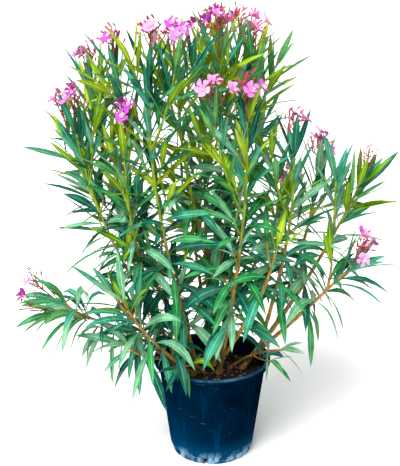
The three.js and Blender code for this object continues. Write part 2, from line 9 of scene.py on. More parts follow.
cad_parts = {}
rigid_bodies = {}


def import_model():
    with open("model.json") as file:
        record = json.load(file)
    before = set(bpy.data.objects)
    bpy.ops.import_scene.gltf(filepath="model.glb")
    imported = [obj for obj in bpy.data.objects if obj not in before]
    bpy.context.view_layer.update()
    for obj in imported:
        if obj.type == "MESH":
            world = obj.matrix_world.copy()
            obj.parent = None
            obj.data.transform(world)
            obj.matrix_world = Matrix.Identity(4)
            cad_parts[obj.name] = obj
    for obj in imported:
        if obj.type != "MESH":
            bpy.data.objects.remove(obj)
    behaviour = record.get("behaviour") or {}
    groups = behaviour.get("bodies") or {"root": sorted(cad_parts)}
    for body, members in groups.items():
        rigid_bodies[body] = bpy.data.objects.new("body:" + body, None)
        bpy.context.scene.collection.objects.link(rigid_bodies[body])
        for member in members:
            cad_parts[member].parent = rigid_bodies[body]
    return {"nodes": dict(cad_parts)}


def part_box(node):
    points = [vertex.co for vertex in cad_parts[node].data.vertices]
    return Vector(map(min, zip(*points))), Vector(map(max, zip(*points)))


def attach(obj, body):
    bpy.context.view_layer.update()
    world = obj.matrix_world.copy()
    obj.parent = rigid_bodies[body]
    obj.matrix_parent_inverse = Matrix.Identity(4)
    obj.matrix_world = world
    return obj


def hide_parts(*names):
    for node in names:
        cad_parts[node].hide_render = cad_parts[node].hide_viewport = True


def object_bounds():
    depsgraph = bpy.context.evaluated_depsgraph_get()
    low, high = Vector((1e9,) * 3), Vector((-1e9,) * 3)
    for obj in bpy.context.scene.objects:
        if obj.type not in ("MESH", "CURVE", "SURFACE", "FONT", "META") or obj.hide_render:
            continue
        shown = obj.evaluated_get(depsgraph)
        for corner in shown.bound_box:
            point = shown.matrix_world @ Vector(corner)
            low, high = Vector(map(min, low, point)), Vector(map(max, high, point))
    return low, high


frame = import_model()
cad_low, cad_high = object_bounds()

MM = 0.001

# ---- the plant's sizes ----

pot_low, pot_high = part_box("pot")
soil_low, soil_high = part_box("soil")
POT_TOP = pot_high.z / MM
RIM_RADIUS = (pot_high.x - pot_low.x) / 2 / MM
GROUND = soil_high.z / MM
SOIL_RADIUS = (soil_high.x - soil_low.x) / 2 / MM
GAP = 0.3

# Angles are in degrees. A "spread" is a pair that a number is drawn from: the least, and what is added to
# it at most. An "added" is only the second of these, and a "range" lies half on each side of a value.
GOLDEN_ANGLE = 137.5
CANE = {
    "foot": 6.4,
    "leafy": 4.8,
    "tip": 2.6,
    "bough": 0.78,
    "thin": 0.62,
    "flare": 1.5,
    "flare_height": 24,
    "sunk": 9.0,
    "sides": 14,
    "ring_every": 4.5,
}
# Bark: a swelling at each old whorl, and coarse and fine ridges, all as shares of the cane's radius.
BARK = {"whorl_every": 52, "whorl_width": 3.6, "whorl": 0.1, "round": 1.6, "ridge": 0.09, "fine_ridge": 0.05}
FINE_RIDGES = 3.1  # to each coarse one
SPREAD = {"inner": 8, "per_reach": 0.2}
BEND = {"first": -5, "last": 13, "pull": 0.36}
SIDE = {
    "first": 0.56,
    "next": 0.16,
    "turn": 70,
    "next_turn": 150,
    "azimuth_share": 0.5,
    "angle": 30,
    "rise": 8,
    "radius": 2.5,
    "foot": 1.5,
    "share": 0.92,
    "extra": 20,
}
# Fine twigs: mm from one to the next on a common stem, on an open one and on a bare stretch, and the
# shares of the stem between which they stand.
FINE = {
    "every": 76,
    "every_open": 240,
    "every_low": 48,
    "least_bare": 105,
    "above_bare": 0.04,
    "on_side_from": 0.25,
    "low_from": 0.35,
    "clear_of_tip": 0.9,
    "length": 88,
    "length_spread": (0.6, 0.5),
    "shorter_up": 0.35,
    "angle": 44,
    "angle_range": 8,
    "rise": 14,
    "radius": 1.6,
    "foot": 1.25,
}
# Where whorls grow on a stem: the share of it that they start from, how far up its mass that is, and
# their leaves' size.
WHORLS = {"side": (0.22, 0.6, 0.96), "fine": (0.4, 0.55, 0.86), "low": (0.3, 0.15, 0.95)}
LEAF = {
    "length": 134,
    "length_spread": (0.82, 0.34),
    "shorter_up": 0.1,
    "width": 24,
    "width_spread": (0.86, 0.26),
    "width_power": 0.75,
    "top_slim": 0.62,
    "slims_by": 1.15,
    "first_turn": 30,
    "turn_range": 20,
    "low_angle": 112,
    "top_angle": 22,
    "angle_between": (-0.15, 1.05),
    "least_angle": 17,
    "angle_range": 14,
    "low_droop": 0.58,
    "top_droop": 0.06,
    "droop_spread": (0.7, 0.6),
    "ground_hang": 2.6,
    "crown_hang": 0.85,
    "crown_height": 380,
    "bend": 1.6,
    "bends_between": (0.05, 1.2),
    "most_droop": 0.8,
    "least_rise": 0.2,
    "roll": 0.16,
    "internode": 29,
    "internode_spread": (0.6, 0.4),
    "crowding": 1.06,
    "last": 0.985,
    "thin": 0.62,
}
# How far a leaf twists to the light: not at all up to the first angle off its stem, and by share past the
# last, towards a face that looks outwards and up.
TWIST = {"first": 35, "last": 80, "share": 0.72, "out": 0.85, "up": 0.5}
# How a leaf that doesn't fit is tried again: degrees nearer the stem, degrees round it, and its size.
LEAF_TRIES = [(0, 0, 1), (5, 24, 1), (5, -24, 1), (12, 50, 0.96), (12, -50, 0.96)]
LEAF_TRIES += [(26, 10, 0.9), (40, -20, 0.8)]
# How yellow-green a leaf is, by how far up its mass and how high above the soil it grows, and how the
# greens are shared out among old leaves, young ones and those inside the crown, which take mostly the
# darkest green as painted shade.
FRESH = {"up_mass": 0.36, "up_plant": 0.58, "height": 850, "power": 1.3, "old": 0.25, "young": 0.95}
TONE_SHARES = {"old": (0.2, 0.29, 0.24, 0.24, 0.03, 0), "young": (0.14, 0.11, 0.06, 0.01, 0.4, 0.28)}
SHADED_TONES = (0.72, 0.08, 0.18, 0.02, 0, 0)
# A flower head: its stalk, the branches on its upper part and the rays on each. Radii are a stalk's foot
# and its tip.
HEAD = {
    "stalk": 70,
    "stalk_sunk": 8,
    "stalk_last": 0.46,
    "stalk_rise": 6,
    "stalk_radii": (2.1, 1.4),
    "lift": 10,
    "outward": 0.12,
    "branches": 6,
    "branch": 34,
    "branch_from": 0.5,
    "branch_to": 0.98,
    "branch_leans": (50, 22),
    "lean_added": 12,
    "turn_added": 30,
    "branch_sizes": (1.25, 0.75),
    "branch_spread": (0.85, 0.4),
    "branch_middle": 0.55,
    "branch_rise": 12,
    "branch_radii": (1.4, 1.0),
    "blooming": (0, 2, 4),
    "also_blooming": 0.14,
}
RAY = {
    "length": 15,
    "length_spread": (0.7, 0.5),
    "straight": 6,
    "every": 0.22,
    "leans": (10, 46, 52),
    "lean_added": 14,
    "turn": 130,
    "turn_added": 60,
    "radii": (1.0, 0.9),
    "outward": 0.75,
}
# A bud, its size on a head with few flowers, and the size from which it counts as large.
BUD = {"length": 19, "radius": 2.9, "spread": (0.5, 0.6), "few": 0.5, "large": 0.8}
FLOWER = {
    "petals": 5,
    "petal": 17.5,
    "petal_spread": (0.9, 0.2),
    "petal_width": 0.46,
    "petal_tilt": 0.3,
    "tube": 15.0,
    "tube_radius": 4.2,
    "throat": 2.2,
    "petal_sunk": 1.5,
    "fringe": 8.5,
    "fringe_width": 3.6,
    "fringe_lean": 34,
}
# The least distances from a leaf to what stands already. Where a leaf is less than "beside" outside the
# rim, it hangs at most "hung" below the top of the pot. It may pass the CAD's box by "past_box".
CLEAR = {"stem": 3.0, "leaf": 5.0, "pot": 5.0, "soil": 4.0, "beside": 100.0, "hung": 70.0, "past_box": 6}
# Points that stand for stems where distances are tested: mm from one to the next, and their radii.
MARKS = {"every": 5, "cane": 4.5, "side": 3, "twig": 1.6}

# A shoot's name, the place of its last whorl (degrees round the pot, mm out from its centre and mm above
# the soil), its length without leaves, its side shoots and its flower heads, and what else it has:
# - from and at: the cane that a bough leaves, and how many mm along it.
# - bend: degrees that it starts flatter and ends steeper than a straight line, or the other way round.
# - thin: a sucker's thin stem and small leaves. slender: how thick its leafy stem is beside others.
# - hang: how many times as far its leaves droop. freshness: how yellow-green they are beside others.
# - open: fewer fine twigs, and none where it is bare. few: fewer open flowers, and smaller buds.
SHOOTS = [
    ("centre", 74, 53, 796, 320, 3, 3, {}),
    ("front_left", 212, 170, 788, 110, 3, 3, {}),
    ("front_right", 300, 150, 668, 170, 1, 2, {}),
    ("back", 98, 151, 761, 110, 2, 1, {}),
    ("left", 185, 321, 617, 220, 2, 2, {"slender": 0.72}),
    ("right", 358, 350, 480, 270, 2, 1, {"bend": 6, "few": True, "open": True, "freshness": 0.4}),
    ("back_right", 72, 300, 600, 180, 2, 1, {}),
    ("back_low_left", 134, 330, 380, 140, 2, 1, {}),
    ("front_left_low", 223, 285, 262, 140, 1, 0, {"slender": 0.8}),
    ("left_low", 197, 386, 196, 150, 2, 2, {"bend": -20, "few": True, "hang": 3.0, "slender": 0.72}),
    ("front_sucker", 241, 168, 66, 50, 0, 0, {"bend": -20, "thin": True}),
    ("right_sucker", 347, 181, 66, 110, 0, 0, {"bend": -20, "thin": True}),
    ("middle", 194, 84, 778, 200, 2, 0, {"from": "centre", "at": 190}),
    ("right_top", 46, 150, 758, 190, 2, 1, {"from": "centre", "at": 250, "open": True, "freshness": 0.75}),
    ("back_left", 156, 326, 697, 170, 2, 1, {"from": "left", "at": 190, "slender": 0.72}),
    ("left_inner", 203, 222, 596, 150, 1, 1, {"from": "left", "at": 130, "slender": 0.72}),
    ("right_shoulder", 19, 276, 477, 140, 1, 1, {"from": "right", "at": 150, "open": True, "freshness": 0.7}),
    ("right_inner", 340, 200, 572, 150, 1, 1, {"from": "right", "at": 80, "open": True}),
    (
        "right_low", 345, 328, 290, 200, 2, 1,
        {"from": "right", "at": 40, "bend": 2, "open": True, "hang": 2.0, "freshness": 0.7},
    ),
    ("back_low_right", 56, 335, 340, 110, 2, 1, {"from": "back_right", "at": 110, "open": True}),
    ("back_low", 100, 330, 330, 130, 1, 0, {"from": "back", "at": 60}),
    ("front_low", 316, 205, 372, 250, 1, 0, {"from": "front_right", "at": 40, "open": True}),
    ("left_skirt", 216, 245, 118, 95, 1, 0, {"from": "left_low", "at": 50, "slender": 0.72}),
]

UP = np.array([0.0, 0.0, 1.0])
DOWN = -UP


# ---- directions and curves ----

def unit(vectors):
    """Directions of length 1."""
    return vectors / np.maximum(np.linalg.norm(vectors, axis=-1, keepdims=True), 1e-12)


def lerp(low, high, share):
    return low + (high - low) * share


def drawn(least, added, random):
    """A number drawn between least and least + added."""
    return least + added * random.random()


def around_zero(whole_range, random):
    """A number drawn from a range that lies half on each side of 0."""
    return whole_range * (random.random() - 0.5)


def smoothstep(value, low, high):
    """From 0 at low to 1 at high, with a soft start and end."""
    share = np.clip((value - low) / (high - low), 0, 1)
    return share * share * (3 - 2 * share)


def turned(vector, axis, degrees):
    """A vector turned about a unit axis."""
    angle = math.radians(degrees)
    cosine, sine = math.cos(angle), math.sin(angle)
    return vector * cosine + np.cross(axis, vector) * sine + axis * np.dot(axis, vector) * (1 - cosine)


def raised(direction, degrees):
    """A direction turned towards straight up."""
    axis = np.cross(direction, UP)
    size = np.linalg.norm(axis)
    return direction if size < 1e-6 else turned(direction, axis / size, degrees)


def square_to(along, near):
    """Two directions square to one, the first as near as it can be to another."""
    first = unit(near - along * np.dot(near, along))
    return first, np.cross(first, along)


def across_to(along):
    """Two directions square to one, where it doesn't matter how they turn round it."""
    return square_to(along, np.array([1.0, 0, 0]) if abs(along[2]) > 0.9 else UP)


def leaning(along, near, turn, lean):
    """The direction that leans from along by some degrees, at a turn round it."""
    first, second = square_to(along, near)
    out = first * math.cos(math.radians(turn)) + second * math.sin(math.radians(turn))
    return along * math.cos(math.radians(lean)) + out * math.sin(math.radians(lean)), out


def polar(azimuth, reach, height):
    """A point by its degrees round the pot, its distance from the middle and its height."""
    angle = math.radians(azimuth)
    return np.array([reach * math.cos(angle), reach * math.sin(angle), height])


class Curve:
    """A Bezier curve by its control points."""

    def __init__(self, *controls):
        self.controls = np.array(controls, float)
        self.stations = np.linspace(0, 1, 201)
        points = self.points(self.stations)
        steps = np.linalg.norm(np.diff(points, axis=0), axis=1)
        self.travelled = np.concatenate([[0], np.cumsum(steps)])
        self.length = self.travelled[-1]

    def points(self, shares):
        shares = np.asarray(shares, float)[..., None]
        level = [np.broadcast_to(c, shares.shape[:-1] + (3,)) for c in self.controls]
        while len(level) > 1:
            level = [a * (1 - shares) + b * shares for a, b in zip(level, level[1:])]
        return level[0]

    def point(self, share):
        return self.points(np.array(share))

    def tangent(self, share):
        low, high = max(share - 1e-4, 0), min(share + 1e-4, 1)
        return unit(self.point(high) - self.point(low))

    def share_at(self, distance):
        return float(np.interp(distance, self.travelled, self.stations))


def bowed(foot, way, length, rise, middle=0.5):
    """A twig's curve: it leaves its foot along way and rises by some degrees."""
    return Curve(foot, foot + way * length * middle, foot + raised(way, rise) * length)


# ---- the shoots, as the CAD limbs have them ----

def shoot_curve(foot, azimuth, reach, height, bend):
    """A shoot's curve from its foot to its last whorl."""
    head = polar(azimuth, reach, GROUND + height)
    pull = np.linalg.norm(head - foot) * BEND["pull"]
    straight = unit(head - foot)
    first = raised(straight, BEND["first"] if bend is None else -bend)
    last = raised(straight, BEND["last"] if bend is None else bend)
    return Curve(foot, foot + first * pull, head - last * pull, head)


def planned():
    """A plan for each shoot: its curve, its side shoots, its radii and its own settings."""
    plans = {}
    for number, (name, azimuth, reach, height, bare, sides, heads, more) in enumerate(SHOOTS):
        parent = plans.get(more.get("from"))
        if parent:
            foot = parent["curve"].point(parent["curve"].share_at(more["at"]))
        else:
            foot = polar(azimuth, SPREAD["inner"] + SPREAD["per_reach"] * reach, GROUND + GAP)
        curve = shoot_curve(foot, azimuth, reach, height, more.get("bend"))
        thin = more.get("thin", False)
        girth = CANE["thin"] if thin else 1
        plans[name] = {
            "azimuth": azimuth,
            "parent": parent,
            "curve": curve,
            "bare": bare,
            "leafy": bare / curve.length,
            "near": polar(azimuth + 90, 1, 0),
            "foot_radius": CANE["foot"] * girth * (CANE["bough"] if parent else 1),
            "leafy_radius": CANE["leafy"] * girth * more.get("slender", 1),
            "heads": heads,
            "few": more.get("few", False),
            "leaf_scale": LEAF["thin"] if thin else 1,
            "open": more.get("open", False),
            "hang": more.get("hang", 1),
            "freshness": more.get("freshness", 1),
            "seed": 101 + 37 * number,
        }
        plans[name]["sides"] = side_shoots(plans[name], sides)
    return plans


def side_shoots(plan, count):
    """Side shoots round the upper stem. Each starts inside it and turns up from its own angle."""
    curve, sides = plan["curve"], []
    for i in range(count):
        share = lerp(plan["leafy"], 1, SIDE["first"] + SIDE["next"] * i)
        turn = SIDE["turn"] + SIDE["next_turn"] * i + plan["azimuth"] * SIDE["azimuth_share"]
        way, _ = leaning(curve.tangent(share), plan["near"], turn, SIDE["angle"])
        length = (1 - share) * curve.length * SIDE["share"] + SIDE["extra"]
        sides.append(bowed(curve.point(share), way, length, SIDE["rise"]))
    return sides


def bare_radius(plan, share):
    """A bare limb's radius, with the root flare where a cane stands in the soil."""
    plain = lerp(plan["foot_radius"], plan["leafy_radius"], share)
    if plan["parent"]:
        return plain
    return plain * lerp(CANE["flare"], 1, smoothstep(share * plan["bare"], 0, CANE["flare_height"]))


# ---- joined meshes ----

class Shape:
    """A small modelled form, read into arrays so that it can be repeated: its points, the corners and
    sizes of its faces, a finish for each face and a place on the UV map for each corner."""

    def __init__(self, piece, finish_of=lambda centre, normal: 0):
        mesh = piece.data
        count = len(mesh.vertices)
        self.points = np.empty(count * 3)
        mesh.vertices.foreach_get("co", self.points)
        self.points = self.points.reshape(count, 3)
        self.corners = np.empty(len(mesh.loops), int)
        mesh.loops.foreach_get("vertex_index", self.corners)
        self.sizes = np.array([len(p.vertices) for p in mesh.polygons])
        self.finishes = np.array([finish_of(p.center, p.normal) for p in mesh.polygons])
        low, high = self.points.min(0), self.points.max(0)
        flat = (self.points - low) / np.maximum(high - low, 1e-9)
        self.uv = flat[self.corners][:, :2]
        self.stations, self.station_of = np.unique(np.round(self.points[:, 1], 5), return_inverse=True)
        bpy.data.objects.remove(piece)


class Pile:
    """Meshes gathered to be joined into one piece."""

    def __init__(self):
        self.points, self.corners, self.sizes, self.finishes, self.uv = [], [], [], [], []
        self.count = 0

    def add(self, points, corners, sizes, finishes, uv):
        self.points.append(points)
        self.corners.append(corners + self.count)
        self.sizes.append(sizes)
        self.finishes.append(finishes)
        self.uv.append(uv)
        self.count += len(points)

    def add_copies(self, shape, points):
        """Copies of one shape, with points of (copies, vertices, 3)."""
        copies, per = points.shape[0], points.shape[1]
        if not copies:
            return
        offsets = np.arange(copies)[:, None] * per
        self.add(
            points.reshape(-1, 3),
            (shape.corners[None] + offsets).ravel(),
            np.tile(shape.sizes, copies),
            np.tile(shape.finishes, copies),
            np.tile(shape.uv, (copies, 1)),
        )

    def add_tube(self, rings, finish=0, uv_length=1.0):
        """A closed tube through rings of (ring, side, 3), with its ends capped."""
        count, sides = rings.shape[:2]
        ring = np.arange(count - 1)[:, None] * sides
        side = np.arange(sides)[None]
        following = (side + 1) % sides
        quads = np.stack([ring + side, ring + following, ring + sides + following, ring + sides + side], -1)
        across = np.stack(np.broadcast_arrays(side, side + 1, side + 1, side), -1) / sides
        here = ring + 0 * side
        along = np.stack([here, here, here + sides, here + sides], -1)
        uv = np.stack([np.broadcast_to(across, quads.shape), along / sides / (count - 1) * uv_length], -1)
        caps = np.concatenate([np.arange(sides)[::-1], (count - 1) * sides + np.arange(sides)])
        self.add(
            rings.reshape(-1, 3),
            np.concatenate([quads.ravel(), caps]),
            np.concatenate([np.full((count - 1) * sides, 4), [sides, sides]]),
            np.full((count - 1) * sides + 2, finish),
            np.concatenate([uv.reshape(-1, 2), np.zeros((2 * sides, 2))]),
        )

    def made(self, name, finishes, sharp=50):
        """The piece: one mesh in metres, smooth but for its sharper edges."""
        points = np.concatenate(self.points) * MM
        corners = np.concatenate(self.corners).astype(np.int32)
        sizes = np.concatenate(self.sizes)
        mesh = bpy.data.meshes.new(name)
        mesh.vertices.add(len(points))
        mesh.vertices.foreach_set("co", points.astype(np.float32).ravel())
        mesh.loops.add(len(corners))
        mesh.loops.foreach_set("vertex_index", corners)
        mesh.polygons.add(len(sizes))
        starts = np.concatenate([[0], np.cumsum(sizes)[:-1]])
        mesh.polygons.foreach_set("loop_start", starts.astype(np.int32))
        mesh.polygons.foreach_set("material_index", np.concatenate(self.finishes).astype(np.int32))
        uv_map = mesh.uv_layers.new(name="surface")
        uv_map.data.foreach_set("uv", np.concatenate(self.uv).astype(np.float32).ravel())
        for finish in finishes:
            mesh.materials.append(finish)
        mesh.update(calc_edges=True)
        mesh.validate()
        mesh.polygons.foreach_set("use_smooth", np.ones(len(mesh.polygons), bool))
        mesh.set_sharp_from_angle(angle=math.radians(sharp))
        piece = bpy.data.objects.new(name, mesh)
        bpy.context.scene.collection.objects.link(piece)
        return piece


def limb_rings(curve, shares, radii, near, sides):
    """Rings of points round a curve, for add_tube."""
    angles = np.arange(sides) * 2 * math.pi / sides
    rings = []
    for share, radius in zip(shares, radii):
        first, second = square_to(curve.tangent(share), near)
        circle = np.outer(np.cos(angles), first) + np.outer(np.sin(angles), -second)
        rings.append(curve.point(share) + circle * np.reshape(radius, (-1, 1)))
    return np.array(rings)


def ribbons(shape, roots, ways, across, lengths, widths, depths):
    """Copies of a flat shape, each bent along its own line: ways holds its direction at each station."""
    stations = shape.stations
    steps = np.diff(stations, prepend=stations[0])
    travel = np.cumsum(ways * steps[None, :, None], axis=1) * lengths[:, None, None]
    lines = roots[:, None] + travel
    beside = unit(across[:, None] - ways * np.sum(across[:, None] * ways, -1, keepdims=True))
    above = np.cross(beside, ways)
    at = shape.station_of
    x = shape.points[:, 0][None, :, None] * widths[:, None, None]
    z = shape.points[:, 2][None, :, None] * depths[:, None, None]
    return lines[:, at] + beside[:, at] * x + above[:, at] * z


# ---- modelling helpers ----

def deselect():
    """Leaves edit mode and selects nothing."""
    if bpy.context.object and bpy.context.object.mode != "OBJECT":
        bpy.ops.object.mode_set(mode="OBJECT")
    bpy.ops.object.select_all(action="DESELECT")


def lofted(name, section, rings, pointed=False):
    """A closed bar along +Y: its first outline is extruded ring by ring. A ring is its distance, its
    width, its depth and the degrees that it turns by."""
    deselect()
    bpy.ops.mesh.primitive_circle_add(vertices=len(section), radius=1, fill_type="NGON")
    piece = bpy.context.object
    piece.name = name
    start, width, depth, _ = rings[0]
    for vertex, (x, z) in zip(piece.data.vertices, section):
        vertex.co = (x * width, start, z * depth)
    bpy.ops.object.mode_set(mode="EDIT")
    bpy.ops.mesh.select_all(action="SELECT")
    for before, ring in zip(rings, rings[1:]):
        bpy.ops.mesh.extrude_region_move(TRANSFORM_OT_translate={"value": (0, ring[0] - before[0], 0)})
        centre = (0, ring[0], 0)
        size = (ring[1] / before[1], 1, ring[2] / before[2])
        bpy.ops.transform.resize(value=size, center_override=centre)
        if ring[3]:
            bpy.ops.transform.rotate(value=math.radians(ring[3]), orient_axis="Y", center_override=centre)
    if pointed:
        bpy.ops.mesh.merge(type="CENTER")
    bpy.ops.mesh.select_all(action="SELECT")
    bpy.ops.mesh.normals_make_consistent(inside=False)
    bpy.ops.object.mode_set(mode="OBJECT")
    return piece


def turned_shell(name, rings, sides):
    """A round shell: a disc is extruded ring by ring through each radius and height in mm, and ends in
    a disc again."""
    deselect()
    radius, height = rings[0]
    bpy.ops.mesh.primitive_circle_add(
        vertices=sides, radius=radius * MM, fill_type="NGON", location=(0, 0, height * MM)
    )
    piece = bpy.context.object
    piece.name = name
    bpy.ops.object.transform_apply(location=True, rotation=True, scale=True)
    bpy.ops.object.mode_set(mode="EDIT")
    bpy.ops.mesh.select_all(action="SELECT")
    for (r0, z0), (r1, z1) in zip(rings, rings[1:]):
        bpy.ops.mesh.extrude_region_move(TRANSFORM_OT_translate={"value": (0, 0, (z1 - z0) * MM)})
        bpy.ops.transform.resize(value=(r1 / r0, r1 / r0, 1), center_override=(0, 0, z1 * MM))
    bpy.ops.mesh.select_all(action="SELECT")
    bpy.ops.mesh.normals_make_consistent(inside=False)
    bpy.ops.object.mode_set(mode="OBJECT")
    return piece


def pick(piece):
    """Selects one piece and makes it the active one."""
    deselect()
    piece.select_set(True)
    bpy.context.view_layer.objects.active = piece


def apply_modifiers(piece):
    pick(piece)
    for modifier in list(piece.modifiers):
        bpy.ops.object.modifier_apply(modifier=modifier.name)


def smooth(piece, degrees):
    """Shades a piece smooth but for its edges sharper than some degrees."""
    pick(piece)
    bpy.ops.object.shade_smooth_by_angle(angle=math.radians(degrees))


# ---- materials ----

def linear(colour):
    """A 0 to 255 screen colour as linear light."""
    shares = [c / 255 for c in colour]
    return tuple(c / 12.92 if c <= 0.04045 else ((c + 0.055) / 1.055) ** 2.4 for c in shares) + (1.0,)


class Finish:
    """A material's nodes, built one by one."""

    MIX_COLOURS = (6, 7)  # a colour Mix node's two inputs, and its output
    MIX_RESULT = 2

    def __init__(self, name, roughness, specular=0.5):
        self.material = bpy.data.materials.new(name)
        self.material.use_nodes = True
        self.nodes = self.material.node_tree.nodes
        self.links = self.material.node_tree.links
        self.shader = self.nodes["Principled BSDF"]
        self.shader.inputs["Roughness"].default_value = roughness
        self.shader.inputs["Specular IOR Level"].default_value = specular
        self.place = self.nodes.new("ShaderNodeTexCoord")

    def mapped(self, scale, source="Object"):
        mapping = self.nodes.new("ShaderNodeMapping")
        mapping.inputs["Scale"].default_value = scale
        self.links.new(self.place.outputs[source], mapping.inputs["Vector"])
        return mapping.outputs["Vector"]

    def noise(self, scale, detail=4, roughness=0.55, stretch=(1, 1, 1), source="Object"):
        node = self.nodes.new("ShaderNodeTexNoise")
        node.inputs["Scale"].default_value = scale
        node.inputs["Detail"].default_value = detail
        node.inputs["Roughness"].default_value = roughness
        self.links.new(self.mapped(stretch, source), node.inputs["Vector"])
        return node.outputs["Fac"]

    def cells(self, scale):
        node = self.nodes.new("ShaderNodeTexVoronoi")
        node.inputs["Scale"].default_value = scale
        self.links.new(self.mapped((1, 1, 1)), node.inputs["Vector"])
        return node.outputs["Distance"]

    def bands(self, scale, distortion, stretch, direction="Y"):
        node = self.nodes.new("ShaderNodeTexWave")
        node.bands_direction = direction
        node.inputs["Scale"].default_value = scale
        node.inputs["Distortion"].default_value = distortion
        self.links.new(self.mapped(stretch, "UV"), node.inputs["Vector"])
        return node.outputs["Fac"]

    def height(self, axis="Z"):
        split = self.nodes.new("ShaderNodeSeparateXYZ")
        self.links.new(self.place.outputs["Object"], split.inputs["Vector"])
        return split.outputs[axis]

    def range(self, value, low, high, to_low=0.0, to_high=1.0):
        node = self.nodes.new("ShaderNodeMapRange")
        node.interpolation_type = "SMOOTHSTEP"
        self.links.new(value, node.inputs["Value"])
        settings = (("From Min", low), ("From Max", high), ("To Min", to_low), ("To Max", to_high))
        for socket, number in settings:
            node.inputs[socket].default_value = number
        return node.outputs["Result"]

    def maths(self, operation, first, second):
        node = self.nodes.new("ShaderNodeMath")
        node.operation = operation
        for socket, value in zip(node.inputs, (first, second)):
            if isinstance(value, (int, float)):
                socket.default_value = value
            else:
                self.links.new(value, socket)
        return node.outputs["Value"]

    def mixed(self, share, first, second):
        """Two colours mixed by a share; a colour is 0 to 255 numbers or another mix."""
        node = self.nodes.new("ShaderNodeMix")
        node.data_type = "RGBA"
        self.links.new(share, node.inputs["Factor"])
        for number, colour in zip(self.MIX_COLOURS, (first, second)):
            if isinstance(colour, tuple):
                node.inputs[number].default_value = linear(colour)
            else:
                self.links.new(colour, node.inputs[number])
        return node.outputs[self.MIX_RESULT]

    def paint(self, colour):
        self.links.new(colour, self.shader.inputs["Base Color"])

    def dull(self, roughness):
        self.links.new(roughness, self.shader.inputs["Roughness"])

    def relief(self, height, strength, distance):
        node = self.nodes.new("ShaderNodeBump")
        node.inputs["Strength"].default_value = strength
        node.inputs["Distance"].default_value = distance
        self.links.new(height, node.inputs["Height"])
        self.links.new(node.outputs["Normal"], self.shader.inputs["Normal"])


def leaf_finish(name, dark, light, roughness, veins=0.35):
    """A leathery blade: its green shifts softly from place to place, and fine side veins run across."""
    finish = Finish(name, roughness, specular=0.12)
    patches = finish.range(finish.noise(26, 3), 0.34, 0.66)
    finish.paint(finish.mixed(patches, dark, light))
    finish.relief(finish.bands(16, 1.2, (0.6, 1, 1)), veins, 0.0004)
    return finish.material


def petal_finish(name, deep, pale):
    """A soft petal with streaks that run from its foot to its end."""
    finish = Finish(name, 0.55, specular=0.3)
    finish.shader.inputs["Sheen Weight"].default_value = 0.25
    streaks = finish.range(finish.noise(5, 3, stretch=(9, 1.2, 1), source="UV"), 0.35, 0.7)
    finish.paint(finish.mixed(streaks, deep, pale))
    finish.relief(finish.bands(5, 0.8, (2, 0.3, 1), direction="X"), 0.25, 0.0005)
    return finish.material


def bark_finish():
    """Ochre bark, greyer and browner at the foot, with lengthwise cracks and small pale corky spots."""
    finish = Finish("cane_bark", 0.62, specular=0.3)
    grain = finish.range(finish.noise(60, 6, 0.6, (3.2, 3.2, 0.5)), 0.36, 0.64)
    spots = finish.range(finish.cells(210), 0.14, 0.3, 1, 0)
    young = finish.mixed(grain, (126, 98, 26), (182, 144, 56))
    old = finish.mixed(grain, (92, 62, 28), (160, 116, 60))
    up = finish.range(finish.height(), (GROUND + 10) * MM, (GROUND + 230) * MM)
    barked = finish.mixed(up, old, young)
    finish.paint(finish.mixed(spots, barked, (206, 182, 128)))
    finish.relief(finish.maths("ADD", grain, finish.maths("MULTIPLY", spots, 0.6)), 0.6, 0.0012)
    return finish.material


def stem_finish():
    """A leafy stem: tan below, yellow-green towards the crown, faintly ridged."""
    finish = Finish("green_stem", 0.5, specular=0.4)
    grain = finish.range(finish.noise(80, 4, 0.5, (3, 3, 0.4)), 0.35, 0.65)
    low = finish.mixed(grain, (118, 88, 28), (168, 130, 52))
    high = finish.mixed(grain, (106, 132, 10), (154, 174, 34))
    up = finish.range(finish.height(), (GROUND + 270) * MM, (GROUND + 480) * MM)
    finish.paint(finish.mixed(up, low, high))
    finish.relief(grain, 0.35, 0.0006)
    return finish.material


def stalk_finish():
    """A flower head's stalks: dark red-brown with paler stretches."""
    finish = Finish("flower_stalk", 0.5, specular=0.4)
    grain = finish.range(finish.noise(70, 3, 0.5, (1, 1, 0.6)), 0.36, 0.66)
    finish.paint(finish.mixed(grain, (104, 34, 34), (146, 84, 44)))
    finish.relief(grain, 0.2, 0.0004)
    return finish.material


def bud_finish(name, deep, light):
    """A bud, calyx or flower tube, its two colours wound round it."""
    finish = Finish(name, 0.42, specular=0.45)
    swirl = finish.range(finish.noise(4, 3, stretch=(2, 1, 1), source="UV"), 0.35, 0.65)
    finish.paint(finish.mixed(swirl, deep, light))
    finish.relief(finish.bands(2, 1.5, (1, 1, 1), direction="DIAGONAL"), 0.25, 0.0005)
    return finish.material


